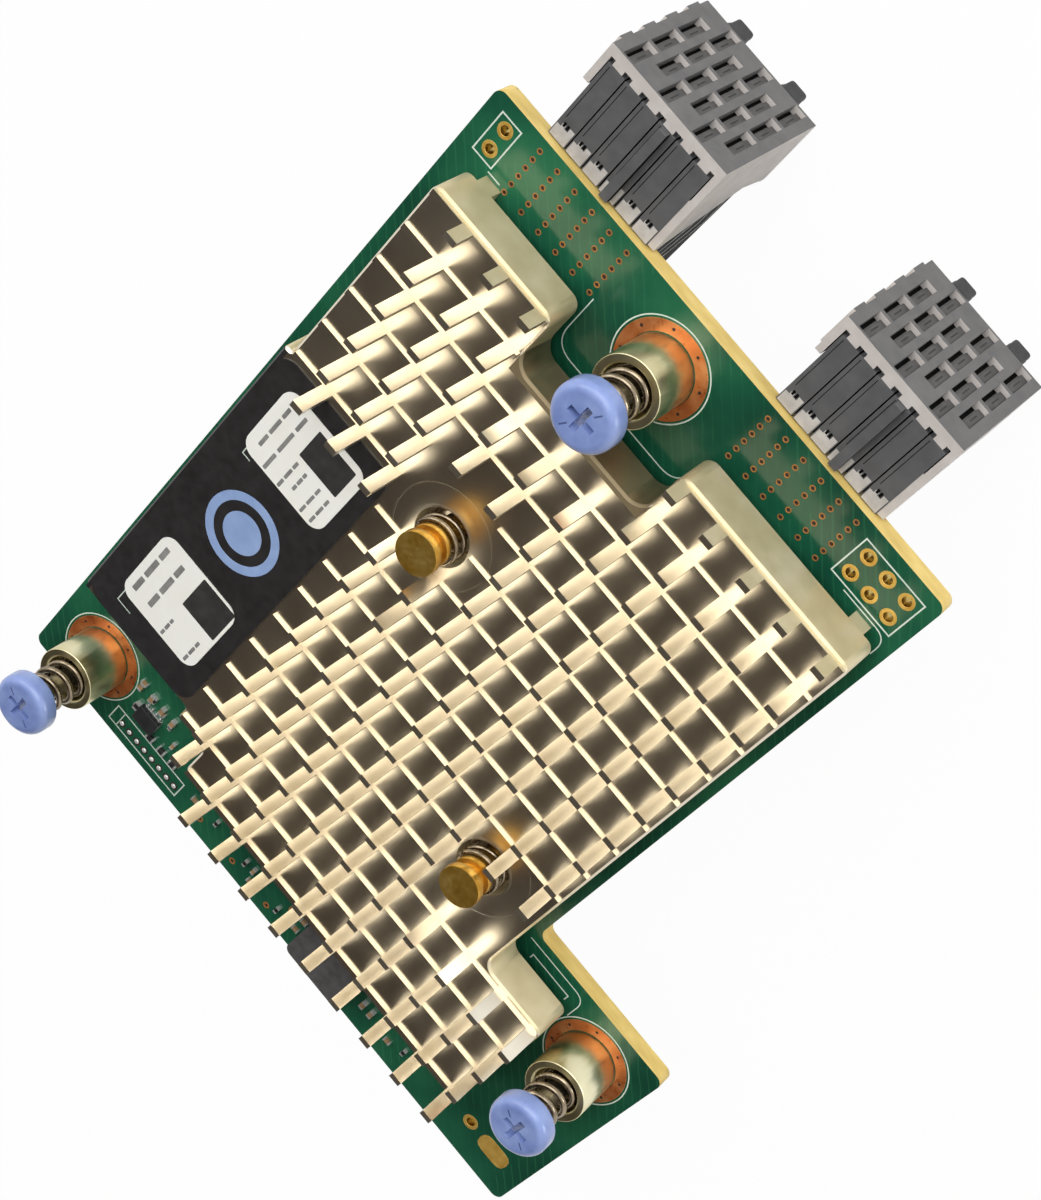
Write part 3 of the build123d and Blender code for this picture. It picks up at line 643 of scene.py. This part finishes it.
# Printed lines
FINE_LINE, TICK_LINE, MARK_LINE, BOX_LINE = 0.12, 0.13, 0.14, 0.15
for corners, radius in (
    ([(8.7, 0.5), (8.6, 6.98), (-8.6, 6.98), (-8.6, 4.4)], 2.4),
    ([(-25.37, 0.28), (-31.2, 0.28), (-31.2, 2.6)], 1.5),
    ([(-32.1, 58.3), (-40.6, 58.3), (-40.6, 61.5)], 1.5),
):
    ribbon(circles, eased(corners, radius), FINE_LINE, BOARD_TOP)
ribbon(circles, [(21.97, 0.28), (23.6, 0.28)], TICK_LINE, BOARD_TOP)
for x0, y0, x1, y1 in (
    (-31.03, -5.16, -23.29, -0.17),
    (23.55, -5.16, 26.1, -0.17),
    (4.45, 84.78, 15.8, 87.16),
):
    corners = [(x0, y0), (x1, y0), (x1, y1), (x0, y1)]
    ribbon(circles, corners, BOX_LINE, BOARD_TOP, closed=True)
bracket = [(-33.6, 60.3), (-33.6, 59.65), (-39.1, 59.65), (-39.1, 60.4)]
ribbon(circles, bracket, MARK_LINE, BOARD_TOP)
ribbon(circles, [(14.6, 84.78), (14.6, 87.16)], FINE_LINE, BOARD_TOP)
piece("silk_lines", circles, SILK)

# Plated rings round the holes, and the press-fit field of the connectors, with dark discs of
# painted shade in the via and press-fit holes
HEADER_RING, TOOLING_RING = (0.5, 0.85), (0.55, 0.95)
RING_HEIGHT = 0.03
VIA, PRESS_FIT = (0.2, 0.42), (0.19, 0.32)
VIA_HEIGHT, HOLE_HEIGHT = 0.02, 0.008
GOLD_SLOT, GOLD_SLOT_SIZE = (-47.5, 83.8), (4.2, 2.5)
PRESS_FIT_MIDDLES, PRESS_FIT_ROWS = (15.305, -15.69), 6
PRESS_FIT_COLUMN, PRESS_FIT_ROW, PRESS_FIT_FRONT = 2.37, 1.16, -5.40
rings, via_rings, via_holes = bmesh.new(), bmesh.new(), bmesh.new()
for point in HEADER_HOLES:
    annulus(rings, point, *HEADER_RING, BOARD_TOP, RING_HEIGHT, 32)
annulus(rings, TOOLING_HOLE, *TOOLING_RING, BOARD_TOP, RING_HEIGHT, 32)
for point in ((-11.3, 86.9), (2.4, 82.7), (0.6, 86.3), (-5.2, 86.6), (-13.6, 84.2)):
    annulus(via_rings, point, *VIA, BOARD_TOP, VIA_HEIGHT, 24)
    dot(via_holes, point, 0.22, BOARD_TOP, HOLE_HEIGHT)
slab(rings, GOLD_SLOT, GOLD_SLOT_SIZE, BOARD_TOP, BOARD_TOP + RING_HEIGHT, 1.2, 0.02)
for middle in PRESS_FIT_MIDDLES:
    for column in range(COLUMNS):
        for row in range(PRESS_FIT_ROWS):
            x = middle + PRESS_FIT_COLUMN * (column - (COLUMNS - 1) / 2)
            point = (x, PRESS_FIT_FRONT + PRESS_FIT_ROW * row)
            annulus(via_rings, point, *PRESS_FIT, BOARD_TOP, VIA_HEIGHT, 20)
            dot(via_holes, point, 0.2, BOARD_TOP, HOLE_HEIGHT)
piece("plated_rings", rings, GOLD)
piece("press_fit_rings", via_rings, VIA_RING)
piece("press_fit_holes", via_holes, VIA_DARK)

# Label: the ring mark and the fields of the two stickers
MARK_INNER, MARK_OUTER, MARK_DOT, INK = 3.55, 4.6, 2.4, 0.01
mark = bmesh.new()
annulus(mark, LABEL_MIDDLE, MARK_INNER, MARK_OUTER, LABEL_TOP, INK, 64)
dot(mark, LABEL_MIDDLE, MARK_DOT, LABEL_TOP, INK, 48)
piece("label_ring", mark, RING_PRINT)
BORDER_X, BORDER_WIDTH = 25.35, 0.44
border = bmesh.new()
ribbon(border, [(BORDER_X, 26.5), (BORDER_X, 68.9)], BORDER_WIDTH, SINK_FLOOR, 0.02)
piece("label_border", border, LABEL)
# Bars of print: x, start and end in y, and thickness; each is broken into words
GREY_BARS = [
    (21.35, 55.7, 63.4, 1.1),
    (19.0, 55.7, 63.2, 1.1),
    (16.15, 61.8, 64.5, 0.65),
    (12.55, 61.0, 64.4, 0.65),
    (21.3, 30.7, 36.8, 0.75),
    (19.5, 29.9, 38.3, 0.75),
    (17.3, 34.4, 38.4, 0.65),
    (15.95, 34.5, 37.2, 0.65),
    (13.98, 34.4, 38.3, 0.6),
    (12.6, 34.5, 38.2, 0.6),
]
WORDS = ((0.0, 0.24), (0.3, 0.66), (0.72, 1.0))
BAR_SHARE, FILM, FILM_EDGE = 0.6, 0.008, 0.004
bars, squares, ticks = bmesh.new(), bmesh.new(), bmesh.new()
for x, y0, y1, thick in GREY_BARS:
    for start, end in WORDS:
        middle = y0 + (y1 - y0) * (start + end) / 2
        extent = (thick * BAR_SHARE, (y1 - y0) * (end - start))
        slab(bars, (x, middle), extent, STICKER_TOP, STICKER_TOP + FILM, 0.12, FILM_EDGE)
for x, y, wide, deep in ((14.1, 56.85, 4.9, 4.8), (15.05, 31.6, 5.4, 4.0)):
    slab(squares, (x, y), (wide, deep), STICKER_TOP, STICKER_TOP + FILM, 0.15, FILM_EDGE)
for corner in (
    [(22.0, 64.2), (22.0, 66.3), (20.0, 66.3)],
    [(22.1, 37.8), (22.1, 39.2), (21.0, 39.2)],
):
    ribbon(ticks, corner, FINE_LINE, LABEL_TOP, INK)
piece("sticker_bars", bars, GREY_PRINT)
piece("sticker_squares", squares, DARK_PRINT)
piece("label_frame_lines", ticks, SILK)

# Solder in the debug holes, screw threads, and a driver groove across each screw head, drawn as a
# darker blue line of painted shade
DOME = ((0.3, 0.01), (0.26, 0.09), (0.16, 0.14), (0.05, 0.16))
solder, solder_pads = bmesh.new(), bmesh.new()
for point in DEBUG_HOLES:
    annulus(solder_pads, point, 0.22, 0.5, BOARD_TOP, 0.015, 24)
    skin(solder, [circle(point, radius, BOARD_TOP + z, 20) for radius, z in DOME], cap_last=True)
piece("debug_solder", solder, SOLDER, smooth=True)
piece("debug_pads", solder_pads, VIA_DARK)
THREAD_FORM = (1.46, 0.3, -3.28, -0.36, 7, 24, 6)
GROOVE_ANGLES = {"front": 62, "rear": 150, "side": 150}
GROOVE_WIDTH, GROOVE_INNER, GROOVE_OUTER, GROOVE_LEVEL = 0.16, 1.45, 2.35, 15.495
for place, point in SCREWS.items():
    ridge = coil(point, *THREAD_FORM)
    piece("screw_thread_" + place, ridge, THREAD, place + "_captive_screw", True)
for place, point in SCREWS.items():
    groove = bmesh.new()
    angle = math.radians(GROOVE_ANGLES[place])
    for reach in ((-GROOVE_OUTER, -GROOVE_INNER), (GROOVE_INNER, GROOVE_OUTER)):
        ribbon(groove, [around(point, r, angle) for r in reach], GROOVE_WIDTH, GROOVE_LEVEL, 0.008)
    piece("head_groove_" + place, groove, GROOVE_PAINTED_SHADE, place + "_captive_screw")

# Connectors: pale seats at the board edge with their stops, grooves along the wafers, leads on
# the wafers' sides, a web behind one cheek, and the hooks' dark tips and pale lips
LEADS, LEAD_WIDTH = 6, 0.22
WAFER_PITCH, WAFER_HALF = 2.25, 1.065
LAST_COLUMN = (COLUMNS - 1) / 2 * WAFER_PITCH  # the outermost wafer's middle
SEAT = (
    (-0.95, -6.85), (0.95, -6.85), (0.95, -8.15), (0.5, -8.15), (0.5, -8.55),
    (0.1, -8.55), (0.1, -8.2), (-0.35, -8.2), (-0.35, -8.7), (-0.95, -8.7),
)
SEAT_TOP, STOP_TOP = CONNECTOR_TOP + 0.03, CONNECTOR_TOP + 0.06
STOP_SHIFTS, STOP_Y, STOP_SIZE = (-0.12, 0.3), -8.55, (0.26, 0.5)
GROOVE_SHIFT, GROOVE_FRONT, GROOVE_BACK = 0.66, -15.9, -9.2
WEB = ((-13.2, 0.97), (-11.05, -10.5), (-6.95, 0.3), (-6.95, 0.93))
WEB_OUTER, WEB_INNER = 7.48, 6.695
HOOK_SHIFT = 3.7
TIP_Y, TIP_SIZE, TIP_LEVELS = -17.25, (2.1, 1.0), (-17.86, -15.7)
LIP_Y, LIP_SIZE, LIP_LEVELS = -17.2, (1.5, 0.9), (-17.89, -17.8)


def onto_side(mesh, points, width, x, out):
    """A raised line on a wafer's side, along points given as (y, z)."""
    strip = bmesh.new()
    ribbon(strip, points, width, 0.0, 0.02)
    strip.verts.index_update()
    made = {}
    for v in strip.verts:
        made[v.index] = mesh.verts.new((x + out * v.co.z, v.co.x, v.co.y))
    for face in strip.faces:
        mesh.faces.new([made[v.index] for v in face.verts])
    strip.free()


def lead_path(k):
    """A lead as (y, z), counted from the lowest: back from the face, round a bend and up."""
    front, low = -9.2 - 0.4 * k, -12.9 + 2.0 * k
    rear, high = 1.7 - 1.25 * k, -0.25
    bend = min(5.5 - 0.55 * k, -0.6 - low)
    return [(front, low), (rear - bend, low), (rear, low + bend), (rear, high)]


seats, stops, grooves, leads, webs, tips, lips = (bmesh.new() for k in range(7))
for middle in CONNECTOR_MIDDLES:
    for column in range(COLUMNS):
        x = middle + column * WAFER_PITCH - LAST_COLUMN
        levels = (CONNECTOR_TOP, SEAT_TOP)
        skin(seats, [[(x + dx, y, z) for dx, y in SEAT] for z in levels], cap_last=True)
        for shift in STOP_SHIFTS:
            slab(stops, (x + shift, STOP_Y), STOP_SIZE, CONNECTOR_TOP, STOP_TOP, 0.05, 0.03)
        groove_x = x + GROOVE_SHIFT
        groove = [(groove_x, GROOVE_BACK), (groove_x, GROOVE_FRONT)]
        ribbon(grooves, groove, 0.07, CONNECTOR_TOP, 0.006)
    for out in (-1, 1):
        edge = middle + out * (LAST_COLUMN + WAFER_HALF)
        for k in range(LEADS):
            onto_side(leads, lead_path(k), LEAD_WIDTH, edge, out)
    web_sides = (middle - WEB_OUTER, middle - WEB_INNER)
    skin(webs, [[(x, y, z) for y, z in WEB] for x in web_sides], cap_first=True, cap_last=True)
    for out in (-1, 1):
        x = middle + out * HOOK_SHIFT
        slab(tips, (x, TIP_Y), TIP_SIZE, *TIP_LEVELS, 0.4, 0.1)
        slab(lips, (x, LIP_Y), LIP_SIZE, *LIP_LEVELS, 0.3, 0.02)
piece("connector_seats", seats, PALE_PATCH)
piece("connector_stops", stops, BLACK_AND_PAINTED_SHADE)
piece("wafer_grooves", grooves, BLACK_AND_PAINTED_SHADE)
piece("wafer_leads", leads, LEAD)
# The web and the hooks' lips take the lit copy of the shroud's plastic: painted light
piece("cheek_webs", webs, SHROUD_PAINTED_LIT)
piece("hook_tips", tips, HOOK)
piece("hook_lips", lips, SHROUD_PAINTED_LIT)


def chip(body_mesh, end_mesh, centre, size, angle, z0, height):
    """A chip part: a body between two plated ends, turned about its middle."""
    long, wide = size
    turn = Matrix.Translation((*centre, 0)) @ Matrix.Rotation(math.radians(angle), 4, "Z")
    cap = long * 0.22  # the length of a plated end
    for mesh, parts in (
        (body_mesh, [((0, 0), (long - 2 * cap + 0.02, wide - 0.04), height - 0.02)]),
        (end_mesh, [((s * (long - cap) / 2, 0), (cap, wide), height) for s in (-1, 1)]),
    ):
        for place, extent, top in parts:
            before = len(mesh.verts)
            slab(mesh, place, extent, z0, z0 + top, 0.06, 0.05)
            mesh.verts.ensure_lookup_table()
            bmesh.ops.transform(mesh, matrix=turn, verts=mesh.verts[before:])


def islands(name):
    """Boxes in mm round each separate solid of a CAD node."""
    mesh = bmesh.new()
    mesh.from_mesh(nodes[name].data)
    bmesh.ops.remove_doubles(mesh, verts=mesh.verts, dist=1e-6)
    mesh.verts.ensure_lookup_table()
    left, boxes = set(mesh.verts), []
    while left:
        heap, group = [left.pop()], []
        while heap:
            v = heap.pop()
            group.append(v.co / MM)
            for e in v.link_edges:
                w = e.other_vert(v)
                if w in left:
                    left.remove(w)
                    heap.append(w)
        boxes.append([(min(c[k] for c in group), max(c[k] for c in group)) for k in range(3)])
    mesh.free()
    return sorted(boxes)


# Behind each window of the connectors: a black plate of painted shade at the back, the platform
# its contact sits in, and a dark line of painted shade for the slit in that platform
CONTACT_SET_BACK, WINDOW_MARGIN, WINDOW_GAP = 0.6, 0.5, 0.01
WELL_DEPTH, WELL_SIZE = 0.94, (1.38, 0.06)
PLATFORM_DEPTH, PLATFORM_SHIFT, PLATFORM_SIZE, PLATFORM_DROP = 0.75, -0.25, (0.86, 0.44), 0.6
SLIT_DEPTH, SLIT_SHIFT, SLIT_SIZE, SLIT_HALF, SLIT_RISE = 0.526, -0.2, (0.16, 0.02), 0.7, 0.42
wells, platforms, slits = bmesh.new(), bmesh.new(), bmesh.new()
for side in SIDES:
    for (x0, x1), (y0, y1), (z0, z1) in islands("connector_contacts_" + side):
        x, face = (x0 + x1) / 2, y0 - CONTACT_SET_BACK
        low, high = z0 - WINDOW_MARGIN, z1 + WINDOW_MARGIN
        sill, middle = low + WINDOW_GAP, low + (high - low) * SLIT_RISE
        slab(wells, (x, face + WELL_DEPTH), WELL_SIZE, sill, high - WINDOW_GAP, 0.01, 0.02)
        place = (x + PLATFORM_SHIFT, face + PLATFORM_DEPTH)
        slab(platforms, place, PLATFORM_SIZE, sill, high - PLATFORM_DROP, 0.08, 0.06)
        place = (x + SLIT_SHIFT, face + SLIT_DEPTH)
        slab(slits, place, SLIT_SIZE, middle - SLIT_HALF, middle + SLIT_HALF, 0.005, 0.02)
piece("window_shade_plates", wells, BLACK_AND_PAINTED_SHADE)
piece("contact_platforms", platforms, CONTACT)
piece("contact_slit_shade", slits, HOOK)

# Underside: plated rings, lands round the screws, and the feet of the host connector
DEBUG_RING, UNDER_LAND = (0.3, 0.5), (3.3, 4.5)
FEET, FOOT_PITCH, FOOT_REACH, FOOT_SIZE, FOOT_HEIGHT = 28, 1.38, 3.45, (0.45, 0.9), 0.22
under_rings, under_lands, feet = bmesh.new(), bmesh.new(), bmesh.new()
for point in HEADER_HOLES:
    annulus(under_rings, point, *HEADER_RING, 0.0, RING_HEIGHT, 32)
for point in DEBUG_HOLES:
    annulus(under_rings, point, *DEBUG_RING, 0.0, RING_HEIGHT, 24)
annulus(under_rings, TOOLING_HOLE, *TOOLING_RING, 0.0, RING_HEIGHT, 32)
for point in SCREWS.values():
    annulus(under_lands, point, *UNDER_LAND, 0.0, RING_HEIGHT, 72)
for k in range(FEET):
    for out in (-1, 1):
        x = HOST_MIDDLE[0] + FOOT_PITCH * (k - (FEET - 1) / 2)
        place = (x, HOST_MIDDLE[1] + out * FOOT_REACH)
        slab(feet, place, FOOT_SIZE, 0.0, FOOT_HEIGHT, 0.06, 0.06)
for name, mesh, mat, slot in (
    ("underside_rings", under_rings, GOLD, "board"),
    ("underside_lands", under_lands, COPPER, "board"),
    ("host_feet", feet, TIN, "contact"),
):
    bmesh.ops.scale(mesh, vec=(1, 1, -1), verts=mesh.verts)
    piece(name, mesh, mat)

# Plated ends on the CAD chips, and the smaller chips round the interface IC
END_LENGTH, END_MIDDLE, END_PROUD = 0.26, 0.11, 0.02
SMALL_CHIP, SMALL_CHIP_HEIGHT = (0.95, 0.5), 0.4
ends, brown, black = bmesh.new(), bmesh.new(), bmesh.new()
for name in ("chip_capacitors", "chip_resistors"):
    for (x0, x1), (y0, y1), (z0, z1) in islands(name):
        x, y, long_x, long_y = (x0 + x1) / 2, (y0 + y1) / 2, x1 - x0, y1 - y0
        for out in (-1, 1):
            if long_x > long_y:
                centre = (x + out * (long_x / 2 - END_MIDDLE), y)
                extent = (END_LENGTH, long_y + 2 * END_PROUD)
            else:
                centre = (x, y + out * (long_y / 2 - END_MIDDLE))
                extent = (long_x + 2 * END_PROUD, END_LENGTH)
            slab(ends, centre, extent, z0, z1 + END_PROUD, 0.05, 0.04)
for x, y, angle, kind in (
    (15.3, 79.0, 0, brown),
    (14.2, 82.2, 0, brown),
    (13.2, 79.5, 90, black),
    (11.6, 79.9, 0, brown),
    (9.9, 80.2, 90, black),
    (10.7, 83.9, 0, brown),
    (8.8, 83.8, 0, black),
    (8.3, 81.9, 90, brown),
    (2.4, 84.8, 0, brown),
    (-1.1, 84.4, 90, black),
    (-3.9, 85.0, 0, black),
    (-6.4, 84.9, 90, black),
    (-7.7, 84.7, 90, brown),
    (-8.9, 84.6, 90, black),
    (-8.2, 86.3, 0, brown),
    (-12.5, 85.8, 90, black),
    (-15.4, 85.5, 0, brown),
    (-15.5, 83.7, 0, brown),
    (-31.1, 85.5, 0, brown),
    (-33.2, 84.6, 90, black),
):
    chip(kind, ends, (x, y), SMALL_CHIP, angle, BOARD_TOP, SMALL_CHIP_HEIGHT)
piece("chip_ends", ends, TIN)
piece("brown_chips", brown, CERAMIC)
piece("black_chips", black, RESISTOR)

# Spot faces milled round the push pins
SPOT_EDGE, BORE_EDGE = (5.5, 5.62), (3.15, 3.35)
spots = bmesh.new()
for point in PUSH_PINS.values():
    annulus(spots, point, *SPOT_EDGE, SINK_FLOOR, 0.008, 96)
    annulus(spots, point, *BORE_EDGE, SINK_FLOOR, 0.012, 72)
piece("spot_faces", spots, SINK)

# Floor, light and camera, in metres
SQUARE = ((-1, -1), (1, -1), (1, 1), (-1, 1))
FLOOR_HALF, FLOOR_GAP = 3.0, 0.00002
FLOOR_WHITE = 0.965  # the share of plain white in the floor; the rest keeps the shadow
floor_z = PART_BOTTOM * MM - FLOOR_GAP
floor_corners = [(a * FLOOR_HALF, b * FLOOR_HALF, floor_z) for a, b in SQUARE]
floor_mesh = bpy.data.meshes.new("floor")
floor_mesh.from_pydata(floor_corners, [], [(0, 1, 2, 3)])
floor = bpy.data.objects.new("floor", floor_mesh)
bpy.context.scene.collection.objects.link(floor)


def background_rays(tree):
    """1 for the rays that see the background: from the camera, and off or through the object."""
    path = tree.nodes.new("ShaderNodeLightPath")
    seen = path.outputs["Is Camera Ray"]
    for kind in ("Is Glossy Ray", "Is Transmission Ray"):
        either = tree.nodes.new("ShaderNodeMath")
        either.operation = "MAXIMUM"
        tree.links.new(seen, either.inputs[0])
        tree.links.new(path.outputs[kind], either.inputs[1])
        seen = either.outputs["Value"]
    return seen


def floor_finish():
    """Pale floor: white to the rays that see the background, shadowed, and open from below."""
    mat = bpy.data.materials.new("floor_pale")
    mat.use_nodes = True
    tree = mat.node_tree
    tree.nodes.remove(tree.nodes["Principled BSDF"])
    out = tree.nodes["Material Output"]
    where = tree.nodes.new("ShaderNodeTexCoord")
    grain = tree.nodes.new("ShaderNodeTexNoise")
    grain.inputs["Scale"].default_value = 30.0
    tree.links.new(where.outputs["Object"], grain.inputs["Vector"])
    tone = tree.nodes.new("ShaderNodeValToRGB")
    tone.color_ramp.elements[0].color = (0.93, 0.93, 0.93, 1)
    tone.color_ramp.elements[1].color = (0.96, 0.96, 0.96, 1)
    tree.links.new(grain.outputs["Fac"], tone.inputs["Fac"])
    matt = tree.nodes.new("ShaderNodeBsdfDiffuse")
    tree.links.new(tone.outputs["Color"], matt.inputs["Color"])
    white = tree.nodes.new("ShaderNodeEmission")
    share = tree.nodes.new("ShaderNodeMath")
    share.operation = "MULTIPLY"
    share.inputs[1].default_value = FLOOR_WHITE
    tree.links.new(background_rays(tree), share.inputs[0])
    mix = tree.nodes.new("ShaderNodeMixShader")
    tree.links.new(share.outputs["Value"], mix.inputs["Fac"])
    tree.links.new(matt.outputs["BSDF"], mix.inputs[1])
    tree.links.new(white.outputs["Emission"], mix.inputs[2])
    below = tree.nodes.new("ShaderNodeNewGeometry")
    clear = tree.nodes.new("ShaderNodeBsdfTransparent")
    side = tree.nodes.new("ShaderNodeMixShader")
    tree.links.new(below.outputs["Backfacing"], side.inputs["Fac"])
    tree.links.new(mix.outputs["Shader"], side.inputs[1])
    tree.links.new(clear.outputs["BSDF"], side.inputs[2])
    tree.links.new(side.outputs["Shader"], out.inputs["Surface"])
    return mat


floor_mesh.materials.append(floor_finish())


def studio():
    """A white room that lights the part more from its right than from its left."""
    world = bpy.data.worlds.new("studio")
    bpy.context.scene.world = world
    world.use_nodes = True
    tree = world.node_tree
    background = tree.nodes["Background"]
    where = tree.nodes.new("ShaderNodeTexCoord")
    axes = tree.nodes.new("ShaderNodeSeparateXYZ")
    tree.links.new(where.outputs["Generated"], axes.inputs["Vector"])
    side = tree.nodes.new("ShaderNodeMapRange")
    side.interpolation_type = "SMOOTHSTEP"
    side.inputs["From Min"].default_value = -0.85
    side.inputs["From Max"].default_value = 0.4
    side.inputs["To Min"].default_value = 0.06
    side.inputs["To Max"].default_value = 0.68
    tree.links.new(axes.outputs["X"], side.inputs["Value"])
    shown = tree.nodes.new("ShaderNodeMixRGB")
    shown.inputs["Color2"].default_value = (1, 1, 1, 1)
    tree.links.new(background_rays(tree), shown.inputs["Fac"])
    tree.links.new(side.outputs["Result"], shown.inputs["Color1"])
    tree.links.new(shown.outputs["Color"], background.inputs["Color"])


studio()


def dark_card(name, towards, distance, inner, outer, colour):
    """A dark card that the metal mirrors and the camera doesn't see.

    inner and outer are the half angles in degrees between which its edge fades.
    """
    towards = Vector(towards).normalized()
    across = towards.cross(Vector((0, 0, 1))).normalized()
    up = across.cross(towards)
    half = distance * math.tan(math.radians(outer))
    mesh = bpy.data.meshes.new(name)
    corners = [towards * distance + (across * a + up * b) * half for a, b in SQUARE]
    mesh.from_pydata(corners, [], [(0, 1, 2, 3)])
    card = bpy.data.objects.new(name, mesh)
    bpy.context.scene.collection.objects.link(card)
    card.visible_camera = False
    mat = bpy.data.materials.new(name)
    mat.use_nodes = True
    tree = mat.node_tree
    tree.nodes.remove(tree.nodes["Principled BSDF"])
    where = tree.nodes.new("ShaderNodeNewGeometry")
    aim = tree.nodes.new("ShaderNodeVectorMath")
    aim.operation = "NORMALIZE"
    tree.links.new(where.outputs["Position"], aim.inputs[0])
    facing = tree.nodes.new("ShaderNodeVectorMath")
    facing.operation = "DOT_PRODUCT"
    facing.inputs[1].default_value = towards
    tree.links.new(aim.outputs["Vector"], facing.inputs[0])
    zone = tree.nodes.new("ShaderNodeMapRange")
    zone.interpolation_type = "SMOOTHSTEP"
    zone.inputs["From Min"].default_value = math.cos(math.radians(outer))
    zone.inputs["From Max"].default_value = math.cos(math.radians(inner))
    tree.links.new(facing.outputs["Value"], zone.inputs["Value"])
    clear = tree.nodes.new("ShaderNodeBsdfTransparent")
    dark = tree.nodes.new("ShaderNodeEmission")
    dark.inputs["Color"].default_value = colour
    mix = tree.nodes.new("ShaderNodeMixShader")
    tree.links.new(zone.outputs["Result"], mix.inputs["Fac"])
    tree.links.new(clear.outputs["BSDF"], mix.inputs[1])
    tree.links.new(dark.outputs["Emission"], mix.inputs[2])
    tree.links.new(mix.outputs["Shader"], tree.nodes["Material Output"].inputs["Surface"])
    mesh.materials.append(mat)


dark_card("back_card", (0.07, 0.66, 0.75), 2.0, 22, 50, (0.04, 0.031, 0.024, 1))


def softbox(name, place, aim, size, power):
    """A square lamp turned towards a point."""
    data = bpy.data.lights.new(name, "AREA")
    data.shape = "SQUARE"
    data.size = size
    data.energy = power
    lamp = bpy.data.objects.new(name, data)
    bpy.context.scene.collection.objects.link(lamp)
    lamp.location = place
    lamp.rotation_euler = (Vector(aim) - Vector(place)).to_track_quat("-Z", "Y").to_euler()


softbox("key", (0.08, -0.62, 0.66), (0, 0.03, 0), 0.8, 5.7)
softbox("side", (0.62, -0.25, 0.5), (0, 0.03, 0), 0.4, 1.3)
softbox("low", (-0.6, -0.32, 0.05), (0, -0.01, -0.01), 0.22, 1.2)

# The photograph's camera: its place in mm, and the image's axes in the part's frame
CAMERA_PLACE = (-25.0897, -140.7612, 197.2105)
CAMERA_SENSOR, CAMERA_LENS = 36.0, 81.408
camera_data = bpy.data.cameras.new("camera")
camera_data.sensor_width = CAMERA_SENSOR
camera_data.lens = CAMERA_LENS
camera_data.clip_start = 0.005
camera = bpy.data.objects.new("camera", camera_data)
bpy.context.scene.collection.objects.link(camera)
across = Vector((-0.640971, -0.546026, -0.539455))
down = Vector((-0.764157, 0.520102, 0.38152))
ahead = Vector((0.072252, 0.656772, -0.75062))
turn = Matrix((across, -down, -ahead)).transposed().to_4x4()
camera.matrix_world = Matrix.Translation(Vector(CAMERA_PLACE) * MM) @ turn
bpy.context.scene.camera = camera
bpy.context.scene.view_settings.view_transform = "Standard"
